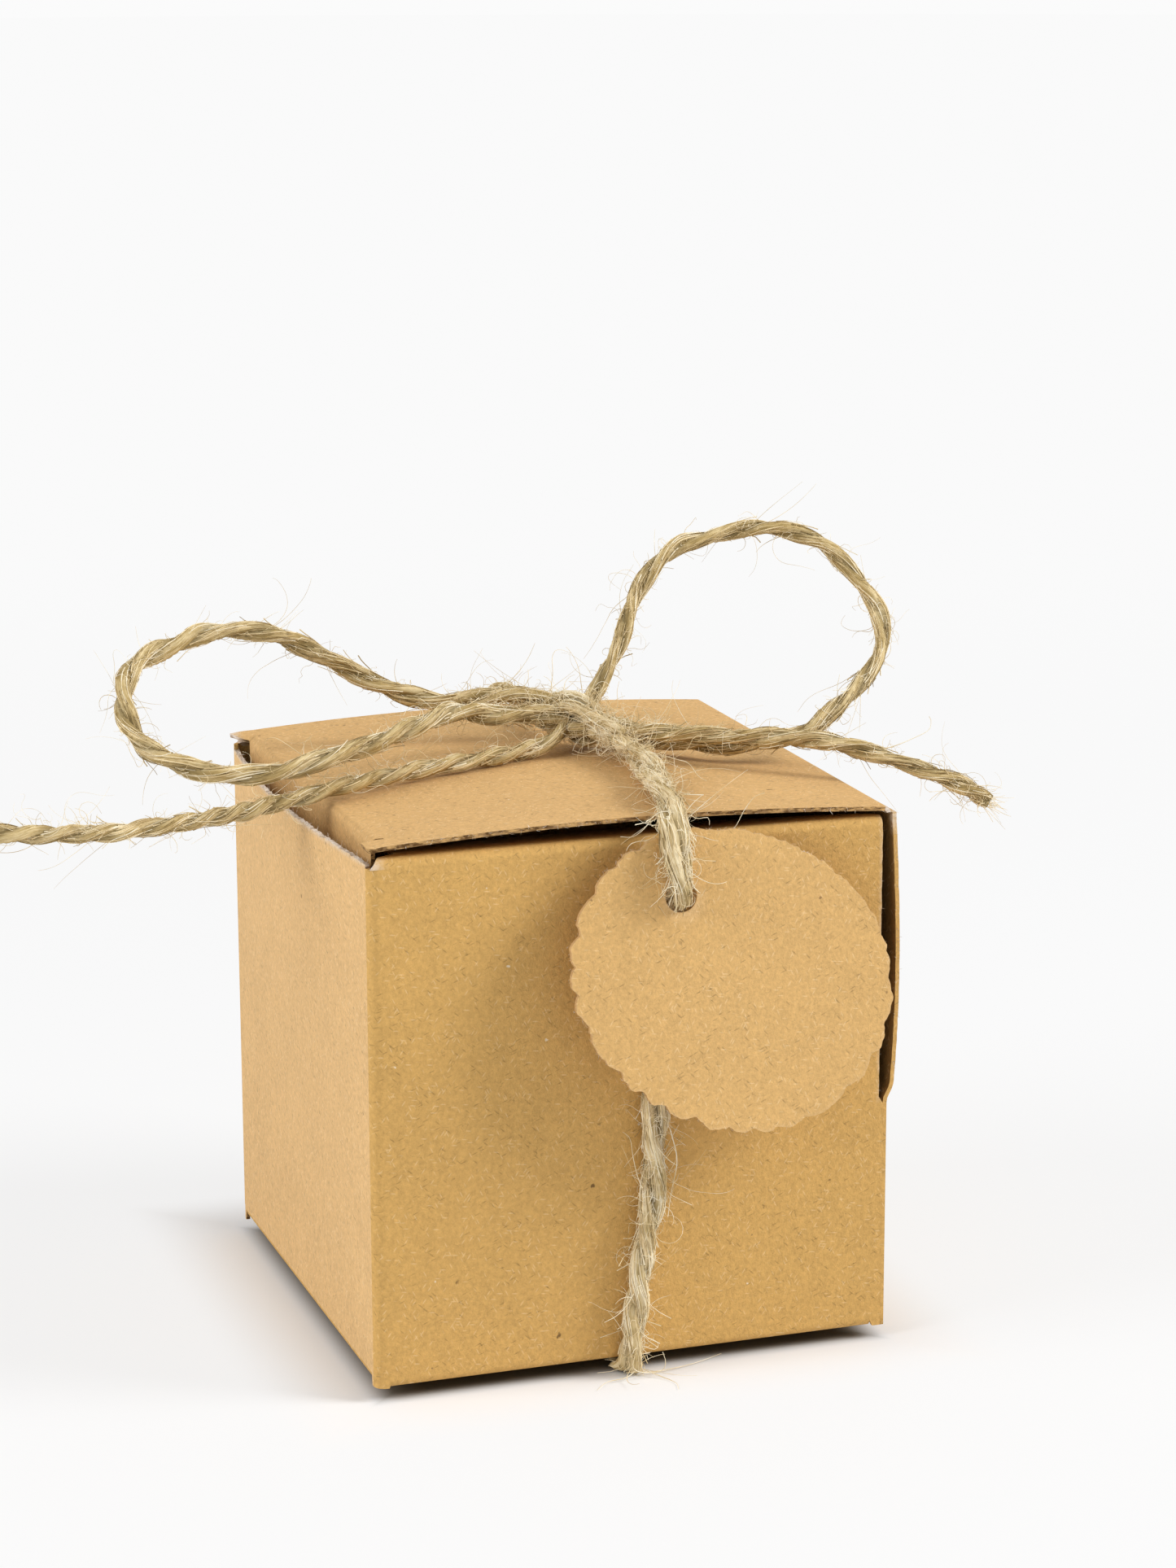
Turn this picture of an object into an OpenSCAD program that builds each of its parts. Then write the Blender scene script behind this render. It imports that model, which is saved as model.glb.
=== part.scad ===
// Small card gift box: a tuck-top cube with a snap-lock bottom, tied with jute twine
// in a bow, with a round scalloped tag threaded on the front strand.
// +X is to the right, +Y to the back and +Z up. The origin is on the floor, under the
// middle of the bottom strand, which the box stands on.

/* [Box] */
// Outside width of the box, left to right
box_w = 50; // [44:1:60]
// Outside depth of the box, front to back
box_d = 50; // [44:1:60]
// Height from the underside of the base to the fold of the dust flaps
box_h = 50.4; // [44:0.2:60]
// Thickness of the card
card_t = 0.4; // [0.3:0.05:0.45]
// Outside radius of the four upright folds
corner_r = 1; // [1:0.1:1.6]
// Outside radius of the folds along the base
base_fold_r = 0.8; // [0.6:0.1:1.2]
// Gap that a crease leaves between two panels that turn on it
crease_gap = 0.15; // [0.1:0.05:0.25]

/* [Wall shapes] */
// How far the left wall bows outward at the middle of its top edge
left_bow = 1.5; // [1.2:0.1:2]
// How much lower the left wall's cut top edge is than the other walls
left_drop = 1.1; // [1:0.1:2]
// How far the right wall bulges outward beside the open seam
right_bulge = 0.8; // [0.4:0.1:1.5]
// Height of the glued part of the corner seam above the base
seam_h = 22.4; // [15:0.2:35]
// Width of the glue tab behind the front wall
glue_tab_w = 9; // [6:0.5:14]
// Slant of the glue tab's ends, over its width
glue_tab_taper = 2; // [1:0.5:4]

/* [Lid] */
// Gap between the dust flaps and the lid that lies over them
lid_gap = 0.2; // [0.15:0.05:0.4]
// Rise of the lid's arch at its middle
lid_arch = 0.9; // [0.5:0.1:1.5]
// How far the lid's cut edges stay inside the front and back faces
lid_inset = 0.1; // [0:0.05:0.4]
// How far the lid's ears stay inside the left face
ear_inset = 0.6; // [0.5:0.1:1.2]
// Radius of the ears' outer corners
ear_r = 1.5; // [0.5:0.1:2]
// Outside radius of the soft fold between the lid and its tuck flap
roll_r = 1; // [0.8:0.1:2]
// Depth of the tuck flap below the lid's top
tuck_d = 12; // [11:0.5:13]
// Width of the tuck flap
tuck_w = 44; // [36:1:44]
// Radius of the tuck flap's lower corners
tuck_corner_r = 10; // [8:0.5:10.5]
// Gap between the tuck flap and the left wall's corners
tuck_gap = 0.7; // [0.7:0.1:1]
// Gap between the tuck flap's sides and the lid's ears
ear_gap = 0.3; // [0.2:0.1:0.6]

/* [Dust flaps] */
// Depth of the dust flaps
dust_d = 12; // [8:0.5:18]
// Gap between the dust flaps' free ends and the tuck flap
dust_end_gap = 1.7; // [1.6:0.1:3]
// Radius of the dust flaps' corner beside the tuck flap
dust_corner_r = 4; // [2:0.5:6]
// Angle of the dust flaps' edge beside the lid's crease
dust_cut = 46; // [45:1:60]

/* [Bottom] */
// Depth of the tongue panel without its tongue
tongue_panel_d = 27; // [23:0.5:29]
// Width of the tongue
tongue_w = 20; // [14:0.5:22]
// Length of the tongue past its ramp
tongue_l = 8; // [5:0.5:10]
// Length over which the tongue climbs through the slot
tongue_ramp = 3.6; // [3:0.1:5]
// Radius of the tongue's corners
tongue_r = 3; // [1:0.5:4]
// Side clearance of the tongue in its slot
tongue_gap = 0.3; // [0.2:0.1:0.6]
// Depth of the slotted panel
slot_panel_d = 31; // [29:0.5:34]
// Depth of the two side flaps
side_flap_d = 13.6; // [10:0.2:14]
// Slant of the side flaps' edges, over their depth
side_flap_taper = 5; // [2:0.5:9]
// Inset of the bottom panels' side edges from the upright folds
panel_inset = 0.4; // [0.2:0.1:1]

/* [Twine] */
// Diameter of the twine
twine_d = 2; // [1.6:0.1:2]
// Width of the bottom strand where the box presses it flat
flat_w = 2.8; // [2.2:0.1:3.4]
// Thickness of the bottom strand where the box presses it flat
flat_t = 1.1; // [0.8:0.05:1.2]
// Gap between the bottom strand and the base
strand_gap = 0.2; // [0.1:0.05:0.4]
// Diameter of the bow's knot
knot_d = 3.6; // [3:0.1:4]

/* [Tag] */
// Diameter of the tag over its scallops
tag_d = 30; // [24:0.5:34]
// Thickness of the tag
tag_t = 0.5; // [0.3:0.05:0.6]
// Number of scallops round the tag
scallops = 28; // [16:1:40]
// Depth of the notches between the scallops
scallop_depth = 0.5; // [0.3:0.05:0.8]
// Diameter of the tag's hole
tag_hole_d = 3; // [2.9:0.1:4]
// Distance from the hole to the tag's centre
tag_hole_offset = 9.2; // [7:0.1:12]
// Turn of the tag away from hanging straight down
tag_turn = 31; // [0:1:45]
// Lean of the tag's lower edge away from the box
tag_lean = 7; // [5:0.5:12]

/* [Hidden] */

$fn = 64;
// Pieces that are joined overlap by this much, and cutters run this far past what they cut
eps = 0.01;
past = 1;
kraft = "#cfa36c";
kraft_light = "#dcb884";
jute = "#aa9669";

// Heights, from the floor
base_z = flat_t + strand_gap;
wall_top_z = base_z + box_h;
left_top_z = wall_top_z - left_drop;
seam_z = base_z + seam_h;
lid_z = wall_top_z + lid_gap;
lid_top_z = lid_z + card_t;

// Places across the box
half_w = box_w / 2;
half_d = box_d / 2;
flat_half_w = half_w - corner_r;
flat_half_d = half_d - corner_r;
seam_r = corner_r - card_t;
seam_x = half_w - seam_r;
lid_right_x = half_w - card_t - crease_gap;
tuck_x = -half_w + card_t + tuck_gap;
roll_x = tuck_x + roll_r;
roll_z = lid_top_z - roll_r;
lid_left_x = roll_x + crease_gap;
lid_edge_y = half_d - lid_inset;
ear_y = tuck_w / 2 + ear_gap;
dust_x = tuck_x + card_t + dust_end_gap;
dust_y = half_d - card_t - crease_gap;

// The bottom panels lie in layers: the tongue panel is outermost, then the side flaps,
// then the slotted panel, and the tongue comes up through the slot and lies on it.
tongue_layer = 0;
side_layer = 1;
slot_layer = 2;
tongue_top_layer = 3;
function layer_z(layer) = base_z + layer * card_t;
function fold_top_z(layer) = layer_z(layer) + base_fold_r;
ramp_start_y = -half_d + tongue_panel_d;
ramp_end_y = ramp_start_y + tongue_ramp;

// Twine routes: points along the centre of each stretch, chosen by hand for a box with this
// half depth and this top, and moved with the faces of the box that is made
route_half_d = 25;
route_top_z = 52.3;
function on_box(p) = [
    p.x,
    p.y + sign(p.y) * min(1, abs(p.y) / route_half_d) * (half_d - route_half_d),
    p.z < route_top_z ? p.z * lid_top_z / route_top_z : p.z + lid_top_z - route_top_z
];
front_points = [[5.1, 2.6, 57.2], [6.3, 0, 56.3], [7.2, -4, 55.5], [7, -9, 55.1], [6.1, -15, 54.9],
    [4.8, -21, 54.7], [3.6, -24.6, 54.5], [3, -27.2, 54.2], [2.4, -29.2, 53], [2.2, -29.7, 51.3],
    [2.4, -29.9, 49.2], [2.7, -29.8, 47.9], [2.9, -29.2, 46.9], [2.9, -28.4, 46.4],
    [2.8, -27.6, 45.9], [2.8, -27, 45], [2.6, -26.7, 43.5], [2.3, -26.5, 39], [2, -26.4, 34],
    [1.7, -26.3, 28.5], [1.4, -26.3, 23], [1.3, -26.3, 18], [0.6, -26.3, 13.5], [0, -26.3, 9.3],
    [-0.4, -26.3, 5.5], [-0.8, -26.3, 2.8], [-0.9, -26.1, 1.5], [-0.9, -25.6, 0.8], [-0.9, -24.5, 0.56]];
back_points = [[4, 5.6, 55.6], [3.8, 9, 55.2], [3.6, 14, 54.9], [3.3, 19, 54.7], [3, 23, 54.6],
    [2.8, 25, 54.4], [2.7, 26.1, 53.8], [2.6, 26.4, 52.6], [2.5, 26.3, 50], [2.2, 26.3, 42],
    [1.9, 26.3, 32], [1.5, 26.3, 21], [1.1, 26.3, 10], [0.9, 26.3, 4], [0.9, 26.1, 2],
    [0.9, 25.6, 1], [0.9, 24.5, 0.56]];
left_loop_points = [[3, 5.4, 57.4], [1, 6.8, 58.4], [-1.6, 8, 58.9], [-7.3, 10, 57.6], [-13.4, 12, 59.3],
    [-18.9, 13, 62], [-23.5, 13, 64.3], [-29.5, 12, 65.2], [-34, 10, 64.5], [-37.8, 8, 63.6],
    [-39.8, 5, 62.2], [-40.6, 2, 60.4], [-40.2, -2, 58.2], [-38.3, -5, 57], [-35.3, -7, 56],
    [-31.5, -8, 55.6], [-27.5, -8, 55.8], [-23, -7, 56.8], [-18.3, -5, 57.4], [-13.2, -2, 58.2],
    [-9, 1, 58.6], [-4.4, 2.6, 58.1], [0.2, 3, 57.5], [2.8, 3.2, 56.9]];
right_loop_points = [[5.4, 4.8, 57.4], [7.1, 5.6, 59.6], [9.5, 7, 62.4], [11.9, 9, 66.1], [14.4, 10, 69.1],
    [17.1, 11, 70.8], [20, 11, 71.4], [23.6, 11, 72], [26.2, 10, 72.3], [28.8, 9, 71.8],
    [31.4, 8, 70.7], [33, 6, 68.9], [34.3, 4, 66.7], [35, 2, 64.8], [34.6, 0, 62.9],
    [33.3, -2, 61.1], [30.7, -4, 59.1], [27.3, -6, 57.3], [24.2, -7, 55.9], [21, -7, 55.2],
    [17.2, -6, 54.8], [13.5, -3.5, 54.8], [9.5, 0.4, 54.9], [5.6, 3.2, 55.4]];
left_tail_points = [[3.6, 3.2, 56.4], [2.2, 1.6, 56.2], [0.7, 0.3, 55.7], [-2, -1, 55.1], [-6.2, -2.5, 54.6], [-10.7, -4, 54.6],
    [-15.5, -5, 54.5], [-21.4, -6, 54.1], [-25.9, -7, 53.6], [-30.3, -8, 52.8], [-34.6, -9, 52.3],
    [-38.9, -10, 52.1], [-44.5, -11, 52.1], [-50, -12, 52.6], [-55.3, -13, 53.3], [-58.3, -13.5, 53.8]];
right_tail_points = [[5, 2.4, 56.8], [6.7, 0.4, 56.4], [8.6, -2, 56.2], [11.8, -5, 56.3], [16.4, -8, 56.1],
    [20.9, -11, 56.1], [24.4, -13, 55.6], [27.9, -15, 54.5], [31.5, -16.5, 53.2], [35.5, -17.5, 51.5],
    [38.1, -18, 49.8]];
// Ends of the bottom strand, from the middle of the box
strand_skew = 0.9;
strand_end_y = half_d - 0.2;
// Where the front strand goes through the tag
tag_hole_at = on_box([2.9, -28.4, 46.4]);
// Centres of the knot's lower and upper ends
knot_ends = [[4.1, 3.6, 55.4], [4.1, 4.2, 57.2]];

// ---- Closed shells and tubes ----

// Two facets for each cell of a grid of points, numbered from the given start
function grid_faces(rows, cols, start, flip) = [
    for (i = [0:rows - 1], j = [0:cols - 1])
        let (a = start + i * (cols + 1) + j, b = a + 1, c = a + cols + 1, d = c + 1)
            each (flip ? [[a, c, b], [b, c, d]] : [[a, b, c], [b, d, c]])
];

// Facets that join two rows of points, listed in step with each other
function seam_faces(one, two) = [
    for (k = [0:len(one) - 2])
        each [[one[k], two[k], one[k + 1]], [one[k + 1], two[k], two[k + 1]]]
];

// A curved panel: outer and inner are functions from grid row and column to a point
module curved_panel(rows, cols, outer, inner) {
    count = (rows + 1) * (cols + 1);
    function at(i, j) = i * (cols + 1) + j;
    first = [for (j = [0:cols]) at(0, j)];
    last = [for (j = [0:cols]) at(rows, j)];
    left = [for (i = [0:rows]) at(i, 0)];
    right = [for (i = [0:rows]) at(i, cols)];
    function under(edge) = [for (k = edge) k + count];
    polyhedron(
        points = concat(
            [for (i = [0:rows], j = [0:cols]) outer(i, j)],
            [for (i = [0:rows], j = [0:cols]) inner(i, j)]),
        faces = concat(
            grid_faces(rows, cols, 0, false), grid_faces(rows, cols, count, true),
            seam_faces(first, under(first)), seam_faces(under(last), last),
            seam_faces(under(left), left), seam_faces(right, under(right))));
}

function unit(v) = v / norm(v);
function mix(a, b, share) = a + (b - a) * share;

// Direction of a route at one of its points
function heading(points, k) =
    unit(points[min(k + 1, len(points) - 1)] - points[max(k - 1, 0)]);

// One ring of a twine tube. It is pressed flat where it runs close to the floor.
function twine_ring(points, k, side_hint, sides) =
    let (
        along = heading(points, k),
        side = unit(side_hint - along * (side_hint * along)),
        up = cross(along, side),
        half_t = min(twine_d / 2, points[k].z - eps)
    )
    [for (s = [0:sides - 1])
        points[k] + side * cos(360 * s / sides) * twine_d / 2 + up * sin(360 * s / sides) * half_t];

// A length of twine along a route, with a ring at each of its points
module twine_tube(route, side_hint) {
    sides = 8;
    points = [for (p = route) on_box(p)];
    last = len(points) - 1;
    polyhedron(
        points = [for (k = [0:last]) each twine_ring(points, k, side_hint, sides)],
        faces = concat(
            [[for (s = [0:sides - 1]) s]],
            [for (k = [0:last - 1], s = [0:sides - 1])
                let (a = k * sides + s, b = k * sides + (s + 1) % sides)
                    each [[a, a + sides, b], [b, a + sides, b + sides]]],
            [[for (s = [sides - 1:-1:0]) last * sides + s]]));
}

// ---- Walls ----

// The box's upright card in plan, with its rounded folds
module wall_ring() {
    difference() {
        rounded_rect(box_w, box_d, corner_r);
        rounded_rect(box_w - 2 * card_t, box_d - 2 * card_t, corner_r - card_t);
    }
}

module rounded_rect(w, d, r) {
    square([w - 2 * r, d], center = true);
    square([w, d - 2 * r], center = true);
    for (x = [-1, 1], y = [-1, 1])
        translate([x * (w / 2 - r), y * (d / 2 - r)]) circle(r);
}

// Raises a plan of upright card from its base fold to its top crease
module upright(layer) {
    z = fold_top_z(layer);
    translate([0, 0, z]) linear_extrude(wall_top_z - card_t - crease_gap - z) children();
}

// Front wall, with the fold at its left. Its right edge is cut and stands on the seam.
module front_wall() {
    color(kraft)
        upright(tongue_layer) {
            intersection() {
                wall_ring();
                translate([-half_w, -half_d]) square([half_w, corner_r]);
            }
            translate([-eps, -half_d]) square([seam_x + eps, card_t]);
        }
}

// Back wall, with the folds at both ends
module back_wall() {
    color(kraft)
        upright(slot_layer)
            intersection() {
                wall_ring();
                translate([-half_w, flat_half_d]) square([box_w, corner_r]);
            }
}

// Left wall: it bows outward towards its cut top edge
module left_wall() {
    rows = 14;
    cols = 10;
    z_low = fold_top_z(side_layer);
    bow_start_z = base_z + box_h / 4;
    function y_at(i) = mix(-flat_half_d, flat_half_d, i / rows);
    function z_at(j) = mix(z_low, left_top_z, j / cols);
    function bow(y, z) = left_bow * cos(90 * y / flat_half_d)
        * pow(max(0, z - bow_start_z) / (left_top_z - bow_start_z), 1.5);
    function outside(i, j) = [-half_w - bow(y_at(i), z_at(j)), y_at(i), z_at(j)];
    color(kraft_light)
        curved_panel(rows, cols, function(i, j) outside(i, j),
            function(i, j) outside(i, j) + [card_t, 0, 0]);
}

// Right wall: above the glued seam its front edge is free, and the card bulges outward
module right_wall() {
    rows = 8;
    cols = 14;
    seam_cols = 2;
    step_z = 0.5;
    z_low = fold_top_z(side_layer);
    z_high = lid_z - crease_gap;
    free_edge_y = -half_d + lid_inset;
    function z_at(j) = j <= seam_cols ? mix(z_low, seam_z, j / seam_cols)
        : mix(seam_z + step_z, z_high, (j - seam_cols - 1) / (cols - seam_cols - 1));
    function front_y(j) = j <= seam_cols ? -flat_half_d : free_edge_y;
    function y_at(i, j) = mix(front_y(j), flat_half_d, i / rows);
    function bulge(i, z) = z <= seam_z ? 0
        : right_bulge * (1 - i / rows) * sin(180 * (z - seam_z) / (z_high - seam_z));
    function outside(i, j) = [half_w + bulge(i, z_at(j)), y_at(i, j), z_at(j)];
    color(kraft)
        curved_panel(rows, cols, function(i, j) outside(i, j) - [card_t, 0, 0],
            function(i, j) outside(i, j));
}

// Glue tab: folded from the right wall and glued behind the front wall
module glue_tab() {
    z_low = fold_top_z(side_layer);
    tab_end_x = seam_x - glue_tab_w;
    tab_y = -half_d + card_t;
    color(kraft) {
        translate([seam_x, -flat_half_d, z_low])
            linear_extrude(seam_z - z_low)
                quarter_ring(seam_r, -90);
        intersection() {
            translate([tab_end_x, tab_y, z_low])
                cube([glue_tab_w, card_t, seam_z - z_low]);
            translate([0, -flat_half_d, 0]) rotate([90, 0, 0])
                linear_extrude(corner_r)
                    polygon([[seam_x, z_low], [seam_x, seam_z],
                        [tab_end_x, seam_z - glue_tab_taper], [tab_end_x, z_low + glue_tab_taper]]);
        }
    }
}

// A quarter of a ring of card, from the given angle on
module quarter_ring(r, angle) {
    rotate(angle) intersection() {
        difference() {
            circle(r);
            circle(r - card_t);
        }
        square(r + past);
    }
}

// ---- Lid ----

// Extrudes a profile drawn in X and Z along the box's depth
module along_y(d) {
    translate([0, d / 2, 0]) rotate([90, 0, 0]) linear_extrude(d) children();
}

// The lid's arched profile, with its flat ears at the left
module lid_profile() {
    chord = lid_right_x - lid_left_x;
    arch_r = (chord * chord / 4 + lid_arch * lid_arch) / (2 * lid_arch);
    middle_x = (lid_right_x + lid_left_x) / 2;
    intersection() {
        translate([middle_x, lid_z + lid_arch - arch_r])
            difference() {
                circle(arch_r + card_t, $fn = 360);
                circle(arch_r, $fn = 360);
            }
        translate([lid_left_x, lid_z - card_t]) square([chord, lid_arch + 3 * card_t]);
    }
    ear_x = -half_w + ear_inset;
    translate([ear_x, lid_z]) square([lid_left_x - ear_x, card_t]);
}

// The lid seen from above: a square panel with an ear at each side of the tuck flap
module lid_outline() {
    ear_x = -half_w + ear_inset;
    ear_w = lid_left_x - ear_x + eps;
    ear_d = lid_edge_y - ear_y;
    r = min(ear_r, ear_d / 2);
    translate([lid_left_x, -lid_edge_y]) square([lid_right_x - lid_left_x, 2 * lid_edge_y]);
    for (side = [-1, 1])
        scale([1, side]) {
            translate([ear_x, ear_y]) square([ear_w, ear_d - r]);
            translate([ear_x + r, ear_y]) square([ear_w - r, ear_d]);
            translate([ear_x + r, lid_edge_y - r]) circle(r);
        }
}

module lid_panel() {
    color(kraft_light)
        intersection() {
            along_y(box_d) lid_profile();
            translate([0, 0, lid_z - past]) linear_extrude(lid_arch + card_t + 2 * past) lid_outline();
        }
}

// The tuck flap seen from the left, with its rounded lower corners
module tuck_outline() {
    low_z = lid_top_z - tuck_d;
    translate([-tuck_w / 2, low_z + tuck_corner_r]) square([tuck_w, tuck_d - tuck_corner_r]);
    translate([-tuck_w / 2 + tuck_corner_r, low_z]) square([tuck_w - 2 * tuck_corner_r, tuck_d]);
    for (side = [-1, 1])
        translate([side * (tuck_w / 2 - tuck_corner_r), low_z + tuck_corner_r]) circle(tuck_corner_r);
}

// Tuck flap: the soft roll at the lid's free edge and the flap inside the left wall
module tuck_flap() {
    color(kraft)
        intersection() {
            along_y(tuck_w) {
                translate([roll_x, roll_z]) quarter_ring(roll_r, 90);
                translate([tuck_x, lid_top_z - tuck_d]) square([card_t, tuck_d - roll_r]);
            }
            translate([tuck_x - past, 0, 0]) rotate([90, 0, 90])
                linear_extrude(roll_r + 2 * past) tuck_outline();
        }
}

// ---- Dust flaps ----

// The front dust flap from above: cut at a slant beside the lid's crease
module dust_outline() {
    end_x = lid_right_x - crease_gap;
    cut_w = dust_d * tan(dust_cut);
    tip_y = -dust_y + dust_d;
    difference() {
        polygon([[dust_x, -dust_y], [end_x, -dust_y], [end_x - cut_w, tip_y], [dust_x, tip_y]]);
        translate([dust_x - eps, tip_y - dust_corner_r])
            difference() {
                square(dust_corner_r + 2 * eps);
                translate([dust_corner_r + eps, 0]) circle(dust_corner_r);
            }
    }
}

module dust_flap() {
    translate([0, 0, wall_top_z - card_t]) linear_extrude(card_t) dust_outline();
}

module front_dust_flap() {
    color(kraft) dust_flap();
}

module back_dust_flap() {
    color(kraft) mirror([0, 1, 0]) dust_flap();
}

// ---- Snap-lock bottom ----

// The fold that joins a wall at the front to a bottom panel of the given layer
module base_fold(layer, length) {
    rotate([90, 0, 90]) translate([0, 0, -length / 2])
        linear_extrude(length)
            translate([base_fold_r, fold_top_z(layer)]) quarter_ring(base_fold_r, 180);
}

// The outermost panel. Its tongue climbs through the slot and lies on the slotted panel.
module bottom_tongue_panel() {
    z = layer_z(tongue_layer);
    top = layer_z(tongue_top_layer);
    start_y = -half_d + base_fold_r;
    tip_y = ramp_end_y + tongue_l;
    half_length = flat_half_w - panel_inset;
    color(kraft) {
        translate([0, -half_d, 0]) base_fold(tongue_layer, 2 * half_length);
        translate([-half_length, start_y, z]) cube([2 * half_length, ramp_start_y - start_y, card_t]);
        intersection() {
            rotate([90, 0, 90]) translate([0, 0, -tongue_w / 2])
                linear_extrude(tongue_w)
                    polygon([[start_y, z], [ramp_start_y, z], [ramp_end_y, top], [tip_y, top],
                        [tip_y, top + card_t], [ramp_end_y, top + card_t],
                        [ramp_start_y, z + card_t], [start_y, z + card_t]]);
            translate([0, 0, z - past]) linear_extrude(top - z + card_t + 2 * past) {
                translate([-tongue_w / 2, start_y]) square([tongue_w, tip_y - tongue_r - start_y]);
                translate([-tongue_w / 2 + tongue_r, start_y])
                    square([tongue_w - 2 * tongue_r, tip_y - start_y]);
                for (side = [-1, 1])
                    translate([side * (tongue_w / 2 - tongue_r), tip_y - tongue_r]) circle(tongue_r);
            }
        }
    }
}

// The innermost panel, with the slot that the tongue comes up through
module bottom_slot_panel() {
    z = layer_z(slot_layer);
    start_y = half_d - base_fold_r;
    free_y = half_d - slot_panel_d;
    half_length = flat_half_w - panel_inset;
    // the ramp is level with this panel's underside here, less a little room
    slot_y = mix(ramp_start_y, ramp_end_y, 1 / 3) - tongue_gap;
    color(kraft) {
        mirror([0, 1, 0]) translate([0, -half_d, 0]) base_fold(slot_layer, 2 * half_length);
        difference() {
            translate([-half_length, free_y, z]) cube([2 * half_length, start_y - free_y, card_t]);
            translate([-tongue_w / 2 - tongue_gap, slot_y, z - past])
                cube([tongue_w + 2 * tongue_gap, ramp_end_y - slot_y, card_t + 2 * past]);
        }
    }
}

// A side flap, hinged on the left wall and cut to a taper
module side_flap() {
    z = layer_z(side_layer);
    half_length = flat_half_d - panel_inset;
    start_x = -half_w + base_fold_r;
    end_x = -half_w + side_flap_d;
    rotate(-90) translate([0, -half_w, 0]) base_fold(side_layer, 2 * half_length);
    translate([0, 0, z]) linear_extrude(card_t)
        polygon([[start_x, -half_length], [end_x, -half_length + side_flap_taper],
            [end_x, half_length - side_flap_taper], [start_x, half_length]]);
}

module bottom_left_flap() {
    color(kraft) side_flap();
}

module bottom_right_flap() {
    color(kraft) mirror([1, 0, 0]) side_flap();
}

// ---- Twine ----

// The bottom strand, pressed flat under the box
module bottom_strand() {
    skew = atan2(strand_skew, strand_end_y);
    length = 2 * norm([strand_skew, strand_end_y]);
    color(jute)
        rotate(-skew) along_y(length) {
            translate([-(flat_w - flat_t) / 2, 0]) square([flat_w - flat_t, flat_t]);
            for (side = [-1, 1])
                translate([side * (flat_w - flat_t) / 2, flat_t / 2]) circle(flat_t / 2);
        }
}

module front_strand() {
    color(jute) twine_tube(front_points, [1, 0, 0]);
}

module back_strand() {
    color(jute) twine_tube(back_points, [1, 0, 0]);
}

module bow_knot() {
    color(jute)
        hull()
            for (end = knot_ends)
                translate(on_box(end)) sphere(d = knot_d, $fn = 24);
}

module left_loop() {
    color(jute) twine_tube(left_loop_points, [0, 1, 0]);
}

module right_loop() {
    color(jute) twine_tube(right_loop_points, [0, 1, 0]);
}

module left_tail() {
    color(jute) twine_tube(left_tail_points, [0, 1, 0]);
}

module right_tail() {
    color(jute) twine_tube(right_tail_points, [0, 1, 0]);
}

// ---- Tag ----

// A disc with a ring of round lobes, and a hole off its centre
module tag_outline() {
    lobe_r = 180 * tag_d / scallops / 90;
    lobe_at = tag_d / 2 - lobe_r;
    difference() {
        union() {
            circle(tag_d / 2 - scallop_depth);
            for (k = [0:scallops - 1])
                rotate(360 * k / scallops) translate([lobe_at, 0]) circle(lobe_r);
        }
        translate([0, tag_hole_offset]) circle(d = tag_hole_d);
    }
}

module tag() {
    color(kraft_light)
        translate(tag_hole_at) rotate([90 - tag_lean, 0, 0]) rotate(tag_turn)
            translate([0, -tag_hole_offset, 0])
                linear_extrude(tag_t, center = true) tag_outline();
}

front_wall();
left_wall();
back_wall();
right_wall();
glue_tab();
lid_panel();
tuck_flap();
front_dust_flap();
back_dust_flap();
bottom_tongue_panel();
bottom_left_flap();
bottom_right_flap();
bottom_slot_panel();
bottom_strand();
front_strand();
back_strand();
bow_knot();
left_loop();
right_loop();
left_tail();
right_tail();
tag();
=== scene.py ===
import math
import random

import bmesh
import bpy
from mathutils import Matrix, Quaternion, Vector, noise


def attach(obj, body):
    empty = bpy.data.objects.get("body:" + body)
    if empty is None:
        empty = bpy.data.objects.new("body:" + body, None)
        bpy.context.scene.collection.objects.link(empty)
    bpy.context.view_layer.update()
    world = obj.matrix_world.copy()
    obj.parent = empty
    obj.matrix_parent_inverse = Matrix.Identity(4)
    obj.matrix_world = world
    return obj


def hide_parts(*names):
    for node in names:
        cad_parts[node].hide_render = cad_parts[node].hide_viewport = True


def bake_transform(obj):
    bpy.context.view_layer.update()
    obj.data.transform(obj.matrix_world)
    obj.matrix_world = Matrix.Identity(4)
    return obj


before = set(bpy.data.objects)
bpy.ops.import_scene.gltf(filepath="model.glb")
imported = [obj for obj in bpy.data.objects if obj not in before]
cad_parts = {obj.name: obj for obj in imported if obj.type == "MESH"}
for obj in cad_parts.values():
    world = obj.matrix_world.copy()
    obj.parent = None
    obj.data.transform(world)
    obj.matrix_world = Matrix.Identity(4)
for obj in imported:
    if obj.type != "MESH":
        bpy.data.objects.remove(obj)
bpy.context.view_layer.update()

MM = 0.001

# ---- Sizes of the real pieces, in millimetres, in the model's own frame ----

CARD = 0.4
HALF = 25.0            # outer faces of the walls, from the middle of the box
FLAT = 24.0            # where the upright folds begin
FOLD_R = 0.55          # outer radius of the crease that the lid turns on
FLAP_TOP = 51.7        # top of the fold to the back dust flap
LID_TOP = 52.3         # top of the lid at its left end
LID_RIGHT = 24.45      # where the lid meets its crease
LID_LEFT = -22.75      # where the lid ends, and its roll and ears begin
LID_ARCH = 0.9         # how far the lid's middle stands above its ends
LID_DROP = 0.3         # the lid slopes down a little towards its crease
LID_EDGE = 24.9        # the lid's long edges, from the middle of the box
EAR_LEFT = -24.9       # the front ear's free edge
EAR_FROM = 22.3        # the ears' inner edges
EAR_TORN = -25.2       # the back ear is torn and reaches a little further
EAR_ROUND = 0.5        # rounding of the front ear's corner
EAR_DROOP = 0.2
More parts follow.
